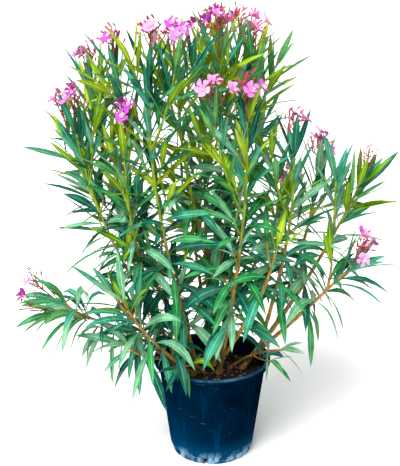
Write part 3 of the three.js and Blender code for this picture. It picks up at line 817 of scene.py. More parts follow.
def pot_finish():
    """Dark blue-black moulded plastic: streaked down the wall, scuffed and dusty round the foot, with
    fine scratches that catch the light. Painted sheen lightens its left side and its lower wall, and a
    painted highlight runs just under the top of its rim."""
    finish = Finish("pot_plastic", 0.36, specular=0.0)
    cloud = finish.range(finish.noise(9, 4), 0.35, 0.68)
    streaks = finish.range(finish.noise(34, 5, 0.6, (1, 1, 0.09)), 0.52, 0.76)
    wall = finish.mixed(cloud, (0, 9, 23), (0, 22, 42))
    # Painted sheen: the wall grows lighter towards its left side, where the key light falls, and towards its
    # foot.
    to_left = finish.range(finish.height("X"), -0.14, 0.06, 1, 0.1)
    to_foot = finish.range(finish.height(), 0.02, 0.24, 1, 0.2)
    painted_sheen = finish.maths("MULTIPLY", to_left, to_foot)
    wall = finish.mixed(painted_sheen, wall, (0, 40, 70))
    wall = finish.mixed(finish.maths("MULTIPLY", streaks, 0.34), wall, (0, 62, 108))
    # Painted sheen: a lighter blue band low on the wall, strongest up to 15 mm up and gone by 75 mm up.
    wall = finish.mixed(finish.range(finish.height(), 0.015, 0.075, 0.7, 0), wall, (0, 66, 104))
    low = finish.range(finish.height(), 0.01, 0.042, 1, 0)
    patches = finish.range(finish.noise(34, 7, 0.7, (1, 1, 0.35)), 0.44, 0.66)
    scuffed = finish.maths("MULTIPLY", low, patches)
    wall = finish.mixed(scuffed, wall, (136, 176, 204))
    # Painted highlight: a lighter blue band just under the top of the rim, broken into patches.
    rim = finish.range(finish.height(), (POT_TOP - 5) * MM, (POT_TOP - 1) * MM, 0, 0.7)
    highlight_patches = finish.range(finish.noise(22, 4), 0.4, 0.6, 0.25, 1)
    wall = finish.mixed(finish.maths("MULTIPLY", rim, highlight_patches), wall, (56, 108, 140))
    scratches = finish.range(finish.noise(120, 3, 0.7, (0.25, 0.25, 2.4)), 0.66, 0.72)
    wall = finish.mixed(finish.maths("MULTIPLY", scratches, 0.3), wall, (92, 122, 148))
    finish.paint(wall)
    rough = finish.maths("ADD", finish.maths("MULTIPLY", scuffed, 0.3), finish.maths("MULTIPLY", cloud, 0.1))
    finish.dull(finish.maths("ADD", rough, 0.4))
    grain = finish.maths("ADD", finish.noise(260, 3), finish.maths("MULTIPLY", scratches, 0.5))
    finish.relief(grain, 0.12, 0.0006)
    return finish.material


def soil_finish():
    """Dark crumbly mix, wetter in places."""
    finish = Finish("soil_mix", 0.92, specular=0.2)
    crumbs = finish.range(finish.noise(160, 8, 0.7), 0.36, 0.64)
    wet = finish.range(finish.noise(22, 3), 0.4, 0.62)
    ground = finish.mixed(crumbs, (13, 8, 9), (48, 32, 31))
    finish.paint(finish.mixed(wet, ground, (20, 15, 13)))
    finish.relief(finish.maths("ADD", crumbs, finish.cells(340)), 0.8, 0.002)
    return finish.material


def chip_finish(name, dark, light, roughness=0.85):
    """A bit of bark or straw, its grain along its length."""
    finish = Finish(name, roughness, specular=0.25)
    grain = finish.range(finish.noise(90, 5, 0.65, (1, 2.4, 1)), 0.36, 0.64)
    finish.paint(finish.mixed(grain, dark, light))
    finish.relief(grain, 0.6, 0.0015)
    return finish.material


# ---- the small forms, each modelled once ----

# A chip of bark: its width and height by its length, how unevenly it is broken, and how deep it lies.
CHIP = {"width": 0.58, "height": 0.4, "broken": (0.72, 0.5), "sunk": 0.5}


def leaf_shape():
    """A narrow blade with a pale midrib, channelled above and raised below. Finishes: blade, midrib and
    underside."""
    section = [(-1, 0.13), (-0.075, 0.0), (0.075, 0.0), (1, 0.13), (0.1, -0.12), (-0.1, -0.12)]
    rings = [
        (0.0, 0.11, 0.62, 0),
        (0.06, 0.12, 0.6, 0),
        (0.17, 0.42, 0.8, 0),
        (0.33, 0.82, 1.0, 0),
        (0.5, 1.0, 1.0, 0),
        (0.68, 0.86, 0.9, 0),
        (0.86, 0.45, 0.6, 0),
        (1.0, 0.05, 0.1, 0),
    ]

    def finish_of(centre, normal):
        if abs(centre.x) < 0.02 and abs(normal.y) < 0.9:
            return 1
        return 0 if normal.z > 0 else 2

    return Shape(lofted("leaf", section, rings, pointed=True), finish_of)


def petal_shape():
    """A petal, broad and oblique at its end."""
    section = [(-1, 0.14), (-0.35, 0.0), (0.35, 0.02), (1, 0.2), (0, -0.12)]
    rings = [(0.0, 0.2, 1, 0), (0.3, 0.36, 1, 0), (0.52, 0.78, 1, 0), (0.74, 1.0, 1, 0), (0.92, 0.86, 1, 0)]
    piece = lofted("petal", section, rings + [(1.0, 0.46, 0.6, 0)])
    for vertex in piece.data.vertices:
        vertex.co.x += 0.3 * vertex.co.y**2
        vertex.co.y *= 1 + 0.06 * vertex.co.x
    shape = Shape(piece)
    shape.stations, shape.station_of = np.unique(np.round(shape.points[:, 1], 2), return_inverse=True)
    return shape


def bud_shape():
    """A slim bud, its folded petals wound round it."""
    section = [(math.cos(a), math.sin(a) * 0.9) for a in np.arange(6) * math.pi / 3]
    rings = [(0, 0.3, 0.3, 0), (0.14, 0.72, 0.72, 12), (0.38, 0.7, 0.7, 14), (0.62, 1, 1, 18)]
    rings += [(0.84, 0.62, 0.62, 18), (1.0, 0.1, 0.1, 14)]
    return Shape(lofted("bud", section, rings, pointed=True))


def tube_shape():
    """A flower's tube, which opens from its calyx to its throat. Finishes: calyx and tube."""
    section = [(math.cos(a), math.sin(a)) for a in np.arange(8) * math.pi / 4]
    rings = [(0, 0.24, 0.24, 0), (0.1, 0.5, 0.5, 0), (0.26, 0.44, 0.44, 0), (0.4, 0.36, 0.36, 0)]
    rings += [(0.75, 0.66, 0.66, 0), (1.0, 1.0, 1.0, 0)]
    return Shape(lofted("tube", section, rings), lambda centre, normal: 0 if centre.y < 0.3 else 1)


def chip_shape(seed):
    """A broken bit of bark."""
    deselect()
    bpy.ops.mesh.primitive_ico_sphere_add(subdivisions=1, radius=1)
    piece = bpy.context.object
    bpy.ops.object.mode_set(mode="EDIT")
    bpy.ops.mesh.select_all(action="SELECT")
    bpy.ops.transform.resize(value=(1, CHIP["width"], CHIP["height"]))
    bpy.ops.object.mode_set(mode="OBJECT")
    random = np.random.default_rng(seed)
    for vertex in piece.data.vertices:
        vertex.co = vertex.co * drawn(*CHIP["broken"], random)
    return Shape(piece)


# ---- growing ----

def sampled(curve, start, radius):
    """Points that stand for a stem when distances are tested, each with the stem's radius there."""
    count = max(3, int(curve.length * (1 - start) / MARKS["every"]))
    shares = np.linspace(start, 1, count + 1)
    return [(p, radius) for p in curve.points(shares)]


class Space:
    """What stands already: the stems, the pot, the soil and the leaves that have grown."""

    def __init__(self, marks):
        self.tree = KDTree(len(marks))
        self.radii = [radius for _, radius in marks]
        for number, (point, _) in enumerate(marks):
            self.tree.insert(point, number)
        self.tree.balance()
        self.taken = set()

    def off_stems(self, point):
        _, number, distance = self.tree.find(point)
        return distance > self.radii[number] + CLEAR["stem"]

    def off_pot(self, point):
        """Whether a point is clear of the pot and the soil. Near the pot's wall, leaves may hang only a
        little way below the rim."""
        out = math.hypot(point[0], point[1])
        if out > RIM_RADIUS + CLEAR["beside"]:
            return point[2] > CLEAR["soil"]
        if out > RIM_RADIUS + CLEAR["pot"]:
            return point[2] > POT_TOP - CLEAR["hung"]
        if point[2] > POT_TOP + CLEAR["pot"]:
            return True
        return out < SOIL_RADIUS - CLEAR["pot"] and point[2] > GROUND + CLEAR["soil"]

    def in_box(self, point):
        past = CLEAR["past_box"]
        return all(cad_low[k] / MM - past < point[k] < cad_high[k] / MM + past for k in range(3))

    def cell(self, point):
        return tuple(int(math.floor(c / CLEAR["leaf"])) for c in point)

    def off_leaves(self, points):
        return not any(self.cell(p) in self.taken for p in points)

    def take(self, points):
        self.taken.update(self.cell(p) for p in points)


# The shares of a leaf's length where it is tested against what stands already. The first is too near its
# own stem for a test against stems, and the first three for one against leaves.
LEAF_TESTS = np.array([0.16, 0.26, 0.36, 0.46, 0.56, 0.66, 0.76, 0.86, 0.94, 1.0])


def leaf_line(root, way, length, droop, shares):
    """Points down a leaf's middle: it leaves along way and bends over by its own weight."""
    ways = unit(way + DOWN * droop * bent(shares)[:, None])
    steps = np.diff(shares, prepend=0)[:, None]
    return root + np.cumsum(ways * steps, axis=0) * length


def bent(shares):
    """How much of its droop a leaf has by a share of its length."""
    return LEAF["bend"] * smoothstep(shares, *LEAF["bends_between"])


def tone_of(freshness, shaded, random):
    """Which green a whorl's leaves take: 0 is deep blue-green and 5 young yellow-green."""
    youth = smoothstep(freshness, FRESH["old"], FRESH["young"])
    shares = lerp(np.array(TONE_SHARES["old"]), np.array(TONE_SHARES["young"]), youth)
    # Leaves on the low twigs deep inside the crown take mostly the darkest green: painted shade.
    if shaded:
        shares = SHADED_TONES
    return int(np.searchsorted(np.cumsum(shares), random.random() * 0.999))


def grow_whorls(plan, curve, start, low, size_share, space, leaves, shaded=False):
    """Whorls of three up one stem, each turned half a gap from the one below. start is the share of the
    stem where they begin, low how far up its mass that is from 0 to 1, and size_share the leaves' size."""
    near, random = plan["near"], plan["random"]
    scale = plan["leaf_scale"] * size_share
    length = curve.length * (1 - start)
    least, added = LEAF["internode_spread"]
    count = max(1, round(length / (LEAF["internode"] * (least + added * scale))))
    for i in range(count):
        share = ((i + 0.3) / max(count - 0.4, 0.6)) ** LEAF["crowding"]
        t = lerp(start, 1, min(share, LEAF["last"]))
        up = lerp(low, 1, min(share, 1))
        at, along = curve.point(t), curve.tangent(t)
        above = at[2] - GROUND
        rise = smoothstep(above, 0, LEAF["crown_height"])
        plant_share = np.clip(above / FRESH["height"], 0, 1) ** FRESH["power"]
        freshness = (FRESH["up_mass"] * up + FRESH["up_plant"] * plant_share) * plan["freshness"]
        tone = tone_of(freshness, shaded, random)
        for k in range(3):
            turn = LEAF["first_turn"] + 120 * (k + (i % 2) / 2) + around_zero(LEAF["turn_range"], random)
            spread = lerp(LEAF["low_angle"], LEAF["top_angle"], smoothstep(up, *LEAF["angle_between"]))
            spread += around_zero(LEAF["angle_range"], random)
            hang = lerp(LEAF["ground_hang"], LEAF["crown_hang"], rise) * plan["hang"]
            droop = lerp(LEAF["low_droop"], LEAF["top_droop"], up) * hang
            droop *= drawn(*LEAF["droop_spread"], random)
            size = LEAF["length"] * scale * (1 - LEAF["shorter_up"] * up * up)
            leaf = {
                "spread": spread,
                "turn": turn,
                "droop": droop,
                "size": size * drawn(*LEAF["length_spread"], random),
                "tone": tone,
                "fresh": freshness,
                "roll": random.normal(0, LEAF["roll"], 3),
            }
            grow_leaf(at, along, near, leaf, space, leaves)


def grow_leaf(at, along, near, leaf, space, leaves):
    """One leaf, in the first of its tries that is clear of all that stands already, or none. The more
    upright it starts, the less it may droop, so that its tip doesn't fold back."""
    for closer, turn, shorter in LEAF_TRIES:
        angle = max(leaf["spread"] - closer, LEAF["least_angle"])
        way, out = leaning(along, near, leaf["turn"] + turn, angle)
        length = leaf["size"] * shorter
        droop = min(leaf["droop"], LEAF["most_droop"] / max(way[2], LEAF["least_rise"]))
        points = leaf_line(at, way, length, droop, LEAF_TESTS)
        if not all(space.in_box(p) and space.off_pot(p) for p in points):
            continue
        if not all(space.off_stems(p) for p in points[1:]) or not space.off_leaves(points[3:]):
            continue
        space.take(points[2:])
        across = facing(points[4], way, np.cross(out, along), angle, leaf["roll"])
        leaves.append({**leaf, "droop": droop, "root": at, "way": way, "across": across, "length": length})
        return


def facing(middle, way, across, angle, roll):
    """A leaf's crosswise direction once it has twisted to the light: an upright leaf keeps its face to its
    stem, and a spreading one turns its face outwards and up."""
    outward = unit(middle * (1, 1, 0))
    share = TWIST["share"] * smoothstep(angle, TWIST["first"], TWIST["last"])
    normal = lerp(np.cross(across, way), UP * TWIST["up"] + outward * TWIST["out"], share) + roll
    return unit(np.cross(way, normal))


def fine_twigs(plan, curve, start, end, every, random):
    """Short twigs on a stem between two shares of it, one every so many mm, shorter towards its tip."""
    twigs, near = [], plan["near"]
    count = int(curve.length * (end - start) / every)
    for i in range(count):
        share = lerp(start, end, (i + 0.5) / count)
        turn = GOLDEN_ANGLE * i + 360 * random.random()
        lean = FINE["angle"] + around_zero(FINE["angle_range"], random)
        way, _ = leaning(curve.tangent(share), near, turn, lean)
        length = FINE["length"] * drawn(*FINE["length_spread"], random) * (1 - FINE["shorter_up"] * share)
        twigs.append(bowed(curve.point(share), way, length, FINE["rise"]))
    return twigs


def head_stems(plan):
    """Where the stems end that carry a flower head, and the way that the head's stalk goes."""
    outward = polar(plan["azimuth"], 1, 0)
    stems = []
    for curve in [plan["curve"], *plan["sides"]][: plan["heads"]]:
        way = raised(unit(curve.tangent(1) + outward * HEAD["outward"]), HEAD["lift"])
        stems.append((curve.point(1), way))
    return stems


class Bloom:
    """All the flower heads: their stalks as curves with radii, their buds and their open flowers."""

    def __init__(self):
        self.stalks, self.buds, self.flowers = [], [], []

    def grow(self, tip, way, plan, random):
        """One head: a stalk that carries on from its stem, with branches round its upper part, and on
        each branch rays that end in a flower or a bud."""
        near, bow = plan["near"], raised(way, HEAD["stalk_rise"])
        middle = tip + way * HEAD["stalk"] * 0.5
        end = middle + bow * HEAD["stalk"] * HEAD["stalk_last"]
        stalk = Curve(tip - way * HEAD["stalk_sunk"], middle, end)
        self.stalks.append((stalk, HEAD["stalk_radii"]))
        blooms = int(random.random() * 2) if plan["few"] else 1 + int(random.random() * 3)
        for i in range(HEAD["branches"]):
            share = lerp(HEAD["branch_from"], HEAD["branch_to"], i / (HEAD["branches"] - 1))
            lean = lerp(*HEAD["branch_leans"], share) + HEAD["lean_added"] * random.random()
            turn = GOLDEN_ANGLE * i + HEAD["turn_added"] * random.random()
            branch_way, _ = leaning(stalk.tangent(share), near, turn, lean)
            length = HEAD["branch"] * lerp(*HEAD["branch_sizes"], share)
            length *= drawn(*HEAD["branch_spread"], random)
            foot = stalk.point(share)
            branch = bowed(foot, branch_way, length, HEAD["branch_rise"], HEAD["branch_middle"])
            self.stalks.append((branch, HEAD["branch_radii"]))
            blooming = i in HEAD["blooming"][:blooms]
            self.rays(branch, near, blooming, BUD["few"] if plan["few"] else 1, random)

    def rays(self, branch, near, blooming, bud_share, random):
        """A branch's rays: one at its tip, which may carry a flower, and the rest below it."""
        tip_way = branch.tangent(1)
        for k, least_lean in enumerate(RAY["leans"]):
            lean = drawn(least_lean, RAY["lean_added"], random)
            way, _ = leaning(tip_way, near, drawn(RAY["turn"] * k, RAY["turn_added"], random), lean)
            foot = branch.point(1 - RAY["every"] * k)
            length = drawn(*RAY["length_spread"], random)
            ray = Curve(foot, foot + way * RAY["straight"], foot + way * RAY["length"] * length)
            self.stalks.append((ray, RAY["radii"]))
            end = ray.point(1)
            outward = unit(end * (1, 1, 0))
            head = {"at": end, "aim": unit(ray.tangent(1) + outward * RAY["outward"])}
            if (k == 0 and blooming) or (k == 1 and random.random() < HEAD["also_blooming"]):
                turn = 360 / FLOWER["petals"] * random.random()
                self.flowers.append({**head, "turn": turn, "draw": random.random()})
            else:
                self.buds.append({**head, "size": drawn(*BUD["spread"], random) * bud_share})


# ---- pieces from what has grown ----

def arrays(rows, key):
    """One value of every row, as an array."""
    return np.array([row[key] for row in rows], float)


def leaf_points(shape, leaves, random):
    """All the leaves of one kind as bent copies of the leaf shape."""
    ways = arrays(leaves, "way")[:, None] + DOWN * (
        arrays(leaves, "droop")[:, None, None] * bent(shape.stations)[None, :, None]
    )
    ways = unit(ways)
    lengths = arrays(leaves, "length")
    least, added = LEAF["width_spread"]
    wide = least + added * random.random(len(leaves))
    slim = lerp(1, LEAF["top_slim"], np.clip(arrays(leaves, "fresh") * LEAF["slims_by"], 0, 1))
    widths = LEAF["width"] / 2 * (lengths / LEAF["length"]) ** LEAF["width_power"] * wide * slim
    return ribbons(shape, arrays(leaves, "root"), ways, arrays(leaves, "across"), lengths, widths, widths)


def petal_ways(shape, aims, outs):
    """A petal's direction at each station: up out of the throat, then flat, then a little back."""
    lean = np.radians(np.interp(shape.stations, [0, 0.25, 0.45, 0.75, 1.0], [24, 42, 74, 84, 96]))
    return aims[:, None] * np.cos(lean)[None, :, None] + outs[:, None] * np.sin(lean)[None, :, None]


def along_points(shape, ats, aims, lengths, radii):
    """Straight copies of a shape that lies along +Y, each at its place and aimed along its own way."""
    firsts = np.array([across_to(aim)[0] for aim in aims])
    ways = np.repeat(aims[:, None], len(shape.stations), axis=1)
    return ribbons(shape, ats, ways, firsts, lengths, radii, radii)


def add_flowers(piles, flowers, petal, tube, random):
    """The open flowers: each has a tube, five petals round its throat and a fringe inside them."""
    petals = FLOWER["petals"]
    for flower in flowers:
        aim = flower["aim"]
        throat = flower["at"] + aim * FLOWER["tube"]
        tone = min(int(flower["draw"] * len(PETAL_TONES)), len(PETAL_TONES) - 1)
        size = FLOWER["petal"] * drawn(*FLOWER["petal_spread"], random)
        turns = flower["turn"] + 360 / petals * np.arange(petals)
        outs = np.array([leaning(aim, across_to(aim)[0], turn, 90)[1] for turn in turns])
        aims = np.tile(aim, (petals, 1))
        across = np.cross(outs, aims)
        tilted = unit(across * math.cos(FLOWER["petal_tilt"]) + aims * math.sin(FLOWER["petal_tilt"]))
        roots = throat + outs * FLOWER["throat"] - aims * FLOWER["petal_sunk"]
        each = np.full(petals, 1.0)
        widths = each * size * FLOWER["petal_width"]
        points = ribbons(petal, roots, petal_ways(petal, aims, outs), tilted, each * size, widths, widths)
        piles["petals"][tone].add_copies(petal, points)
        lean = np.full((petals, len(petal.stations)), math.radians(FLOWER["fringe_lean"]))
        fringe_ways = aims[:, None] * np.cos(lean)[..., None] + outs[:, None] * np.sin(lean)[..., None]
        widths = each * FLOWER["fringe_width"]
        fringe = ribbons(petal, roots, fringe_ways, across, each * FLOWER["fringe"], widths, widths)
        piles["throats"].add_copies(petal, fringe)
        length, radius = np.array([FLOWER["tube"]]), np.array([FLOWER["tube_radius"]])
        points = along_points(tube, np.array([flower["at"]]), aims[:1], length, radius)
        piles["tubes"].add_copies(tube, points)


def add_stalks(pile, stalks):
    """Every stalk, branch and ray as a tapering tube with a ring about every 14 mm."""
    for curve, radii in stalks:
        count = max(3, int(curve.length / 14) + 1)
        tapered(pile, curve, np.linspace(0, 1, count), radii, across_to(curve.tangent(0))[0], 6)


def bark_radii(plan, curve, shares, sides):
    """A cane's radius at each ring and side: its taper and flare, a swelling at each old whorl, and the
    bark's ridges."""
    radii = []
    half = BARK["whorl_every"] / 2
    for share in shares:
        travelled = share * curve.length
        plain = bare_radius(plan, min(share / plan["leafy"], 1))
        from_whorl = (travelled % BARK["whorl_every"]) - half
        swollen = 1 + BARK["whorl"] * math.exp(-(from_whorl / BARK["whorl_width"]) ** 2)
        ring = []
        for side in range(sides):
            angle = side * 2 * math.pi / sides
            x, y = math.cos(angle) * BARK["round"], math.sin(angle) * BARK["round"]
            place = Vector((x, y, travelled / half + plan["seed"]))
            ridges = BARK["ridge"] * noise.noise(place)
            fine_ridges = BARK["fine_ridge"] * noise.noise(place * FINE_RIDGES)
            ring.append(plain * swollen * (1 + ridges + fine_ridges))
        radii.append(ring)
    return radii


def cane_rings(plan):
    """A cane or bough from its foot to where its leaves begin. A cane's foot goes straight down into the
    soil, and a bough's starts in the cane that it leaves."""
    curve = plan["curve"]
    sides = CANE["sides"]
    count = max(6, int(plan["bare"] / CANE["ring_every"]))
    shares = np.linspace(0, plan["leafy"], count + 1)
    rings = limb_rings(curve, shares, bark_radii(plan, curve, shares, sides), plan["near"], sides)
    if plan["parent"]:
        return rings
    sunk = rings[:1] - np.array([0, 0, CANE["sunk"]])
    return np.concatenate([sunk, rings])


# ---- grow the plant ----
# Every stem and head stands before the first leaf grows, and the shaded leaves come last.

plans = list(planned().values())
marks = []
for plan in plans:
    random = plan["random"] = np.random.default_rng(plan["seed"])
    every = FINE["every_open"] if plan["open"] else FINE["every"]
    end = FINE["clear_of_tip"]
    marks += sampled(plan["curve"], 0, MARKS["cane"])
    plan["fine"] = fine_twigs(plan, plan["curve"], plan["leafy"] + FINE["above_bare"], end, every, random)
    for side in plan["sides"]:
        marks += sampled(side, 0, MARKS["side"])
        plan["fine"] += fine_twigs(plan, side, FINE["on_side_from"], end, every, random)
    plan["low"] = []
    if not plan["open"] and plan["bare"] > FINE["least_bare"]:
        own = np.random.default_rng(plan["seed"] + 1)
        start = plan["leafy"] * FINE["low_from"]
        plan["low"] = fine_twigs(plan, plan["curve"], start, plan["leafy"], FINE["every_low"], own)
    for twig in plan["fine"] + plan["low"]:
        marks += sampled(twig, 0.1, MARKS["twig"])

space = Space(marks)
bloom = Bloom()
leaves = []
for plan in plans:
    for tip, way in head_stems(plan):
        bloom.grow(tip, way, plan, plan["random"])
for plan in plans:
    grow_whorls(plan, plan["curve"], plan["leafy"], 0, 1, space, leaves)
    for side in plan["sides"]:
        grow_whorls(plan, side, *WHORLS["side"], space, leaves)
    for twig in plan["fine"]:
        grow_whorls(plan, twig, *WHORLS["fine"], space, leaves)
for plan in plans:
    for twig in plan["low"]:
        grow_whorls(plan, twig, *WHORLS["low"], space, leaves, shaded=True)

# ---- finishes ----

LEAF_TONES = [
    ("deep", (0, 58, 48), (0, 92, 76), 0.4),
    ("teal", (16, 110, 86), (54, 148, 116), 0.4),
    ("green", (12, 102, 50), (50, 142, 82), 0.42),
    ("pale", (66, 132, 96), (112, 168, 130), 0.5),
    ("fresh", (66, 118, 0), (106, 150, 4), 0.44),
    ("young", (112, 148, 0), (156, 182, 12), 0.46),
]
RIBS = {
    "deep": (84, 152, 112),
    "teal": (134, 192, 158),
    "green": (128, 182, 112),
    "pale": (168, 206, 172),
    "fresh": (190, 208, 66),
    "young": (216, 226, 100),
}
UNDERSIDES = {
    "deep": ((10, 88, 68), (42, 118, 92)),
    "teal": ((42, 124, 94), (84, 154, 120)),
    "green": ((52, 122, 62), (94, 152, 86)),
    "pale": ((96, 150, 112), (138, 180, 142)),
    "fresh": ((88, 132, 14), (126, 158, 32)),
    "young": ((124, 156, 18), (162, 186, 42)),
}
PETAL_TONES = [
    ("deep", (176, 34, 168), (206, 74, 200)),
    ("rose", (198, 88, 192), (226, 134, 216)),
    ("pale", (230, 124, 196), (246, 178, 224)),
]


def whole(piece, slot, *nodes):
    """What every piece says: it rides on the plant's body and may stand for CAD nodes, which it hides.
    The slot is not used."""
    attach(piece, "root")
    if nodes:
        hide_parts(*nodes)


def tapered(pile, curve, shares, radii, near, sides):
    """A stem's tube, its radius from the first of two to the last between the first share and the last."""
    along = (shares - shares[0]) / (shares[-1] - shares[0])
    pile.add_tube(limb_rings(curve, shares, lerp(*radii, along), near, sides))


cane_nodes = [n for n in frame["nodes"] if n.startswith(("cane_", "bough_"))]
foliage_nodes = [n for n in frame["nodes"] if n.startswith("foliage_")]

canes = Pile()
for plan in plans:
    canes.add_tube(cane_rings(plan), uv_length=plan["bare"] / 40)
whole(canes.made("canes_and_boughs", [bark_finish()]), "bark", *cane_nodes)

# Leafy stems start 2 mm inside the bare limb below them.
stems = Pile()
side_radii = (SIDE["radius"] * SIDE["foot"], SIDE["radius"])
twig_radii = (FINE["radius"] * FINE["foot"], FINE["radius"])
for plan in plans:
    curve = plan["curve"]
    shares = np.linspace(plan["leafy"] - 2 / curve.length, 1, 24)
    tapered(stems, curve, shares, (plan["leafy_radius"], CANE["tip"]), plan["near"], 9)
    for side in plan["sides"]:
        tapered(stems, side, np.linspace(0, 1, 12), side_radii, plan["near"], 8)
    for twig in plan["fine"] + plan["low"]:
        tapered(stems, twig, np.linspace(0, 1, 5), twig_radii, across_to(twig.tangent(0))[0], 6)
whole(stems.made("leafy_stems", [stem_finish()]), "leaves", *foliage_nodes)

leaf = leaf_shape()
leaf_random = np.random.default_rng(7)
for number, (tone, dark, light, roughness) in enumerate(LEAF_TONES):
    pile = Pile()
    chosen = [row for row in leaves if row["tone"] == number]
    pile.add_copies(leaf, leaf_points(leaf, chosen, leaf_random))
    rib = RIBS[tone]
    finishes = [
        leaf_finish(f"leaf_{tone}", dark, light, roughness),
        leaf_finish(f"midrib_{tone}", tuple(c - 14 for c in rib), rib, 0.5, 0.1),
        leaf_finish(f"underside_{tone}", *UNDERSIDES[tone], 0.62, 0.2),
    ]
    whole(pile.made(f"leaves_{tone}", finishes), "leaves", *foliage_nodes)

petal, tube, bud = petal_shape(), tube_shape(), bud_shape()
piles = {"petals": [Pile() for _ in PETAL_TONES], "throats": Pile(), "tubes": Pile()}
add_flowers(piles, bloom.flowers, petal, tube, np.random.default_rng(11))
for pile, (tone, deep, pale) in zip(piles["petals"], PETAL_TONES):
    whole(pile.made(f"petals_{tone}", [petal_finish(f"petal_{tone}", deep, pale)]), "leaves")
fringe_finish = petal_finish("petal_fringe", (238, 150, 200), (252, 222, 236))
whole(piles["throats"].made("flower_fringes", [fringe_finish]), "leaves")
calyx_finish = bud_finish("calyx", (112, 22, 34), (150, 48, 44))
tube_finish = bud_finish("flower_tube", (214, 88, 150), (240, 160, 200))
whole(piles["tubes"].made("flower_tubes", [calyx_finish, tube_finish]), "leaves")

stalks = Pile()
add_stalks(stalks, bloom.stalks)
whole(stalks.made("flower_stalks", [stalk_finish()]), "leaves")

for name, rows, deep, light in (
    ("buds_small", [b for b in bloom.buds if b["size"] < BUD["large"]], (120, 22, 44), (174, 50, 70)),
    ("buds_large", [b for b in bloom.buds if b["size"] >= BUD["large"]], (160, 26, 74), (206, 66, 118)),
):
    pile = Pile()
    sizes = arrays(rows, "size")
    lengths, radii = BUD["length"] * sizes, BUD["radius"] * np.sqrt(sizes)
    pile.add_copies(bud, along_points(bud, arrays(rows, "at"), arrays(rows, "aim"), lengths, radii))
    whole(pile.made(name, [bud_finish(name, deep, light)]), "leaves")

# ---- pot and soil ----

POT = {
    "wall_foot": 104,
    "wall_top": 138,
    "ledge": 141,
    "ledge_height": 9,
    "rim_height": 13,
    "foot_band": 22,
    "inset": 3.5,
    "wall": 2.6,
    "floor": 4,
    "corner": 20,
    "sides": 96,
}
SLOTS = {"count": 8, "width": 8, "height": 17, "inward": 16, "turn": 36, "rounded": 0.42}


def wall_radius(height):
    """The outer wall's radius at a height."""
    return lerp(POT["wall_foot"], POT["wall_top"], height / POT_TOP)


def inner_radius(height):
    """The inner wall's radius at a height above the corner of the floor."""
    foot = wall_radius(POT["corner"]) - POT["wall"] - POT["inset"]
    share = (height - POT["corner"]) / (POT_TOP - POT["corner"])
    return lerp(foot, POT["wall_top"] - POT["wall"], share)


def pot_shell():
    """The pot: a stepped foot, a tapered wall, a ledge under a rolled rim, and slots round its foot."""
    rim_low = POT_TOP - POT["rim_height"]
    ledge_low = rim_low - POT["ledge_height"]
    foot = POT["wall_foot"] - POT["inset"]
    rings = [
        (foot - 12, 1.6),
        (foot - 9, 0.0),
        (foot - 2.6, 0.0),
        (foot - 0.7, 0.9),
        (foot, 3.0),
        (wall_radius(POT["foot_band"]) - POT["inset"], POT["foot_band"] - 4.5),
        (wall_radius(POT["foot_band"]) - 1.0, POT["foot_band"] - 1.4),
        (wall_radius(POT["foot_band"]), POT["foot_band"]),
        *((wall_radius(height), height) for height in (70, 130, 190)),
        (wall_radius(ledge_low - 2), ledge_low - 2),
        (POT["ledge"] - 0.8, ledge_low - 0.4),
        (POT["ledge"], ledge_low + 0.8),
        (POT["ledge"], rim_low - 0.8),
        (POT["ledge"] + 1, rim_low),
        (RIM_RADIUS - 2.2, rim_low + 0.2),
        (RIM_RADIUS - 0.6, rim_low + 1.4),
        (RIM_RADIUS, rim_low + 4),
        (RIM_RADIUS, POT_TOP - 5),
        (RIM_RADIUS - 1.1, POT_TOP - 2),
        (RIM_RADIUS - 3.4, POT_TOP - 0.3),
        (RIM_RADIUS - 6.2, POT_TOP),
        (inner_radius(POT_TOP) + 2.6, POT_TOP - 0.8),
        (inner_radius(POT_TOP - 5), POT_TOP - 5),
        (inner_radius(GROUND), GROUND),
        (inner_radius(POT["corner"]), POT["corner"]),
        (inner_radius(POT["floor"]) - 5, POT["floor"]),
    ]
    piece = turned_shell("pot_shell", rings, POT["sides"])
    cutter = slot_cutters()
    cut = piece.modifiers.new("slots", "BOOLEAN")
    cut.operation, cut.object, cut.solver = "DIFFERENCE", cutter, "EXACT"
    apply_modifiers(piece)
    bpy.data.objects.remove(cutter)
    smooth(piece, 32)
    return piece


def slot_cutters():
    """Round-topped blocks, one through each drainage slot."""
    cutters = []
    for i in range(SLOTS["count"]):
        deselect()
        size = (SLOTS["inward"] * 2 * MM, SLOTS["width"] * MM, SLOTS["height"] * 2 * MM)
        bpy.ops.mesh.primitive_cube_add(size=1, location=(POT["wall_foot"] * MM, 0, 0), scale=size)
        block = bpy.context.object
        bpy.ops.object.transform_apply(location=True, rotation=True, scale=True)
        bpy.ops.object.mode_set(mode="EDIT")
        bpy.ops.mesh.select_all(action="DESELECT")
        bpy.ops.object.mode_set(mode="OBJECT")
        for edge in block.data.edges:
            ends = [block.data.vertices[v].co for v in edge.vertices]
            edge.select = all(e.z > 0 for e in ends) and abs(ends[0].y - ends[1].y) < 1e-6
        bpy.ops.object.mode_set(mode="EDIT")
        bpy.ops.mesh.bevel(offset=SLOTS["width"] * SLOTS["rounded"] * MM, segments=4, affect="EDGES")
        bpy.ops.mesh.select_all(action="SELECT")
        bpy.ops.object.mode_set(mode="OBJECT")
        block.rotation_euler = (0, 0, math.radians(SLOTS["turn"] + 360 / SLOTS["count"] * i))
        bpy.ops.object.transform_apply(location=True, rotation=True, scale=True)
        cutters.append(block)
    deselect()
    for block in cutters:
        block.select_set(True)
    bpy.context.view_layer.objects.active = cutters[0]
    bpy.ops.object.join()
    return cutters[0]


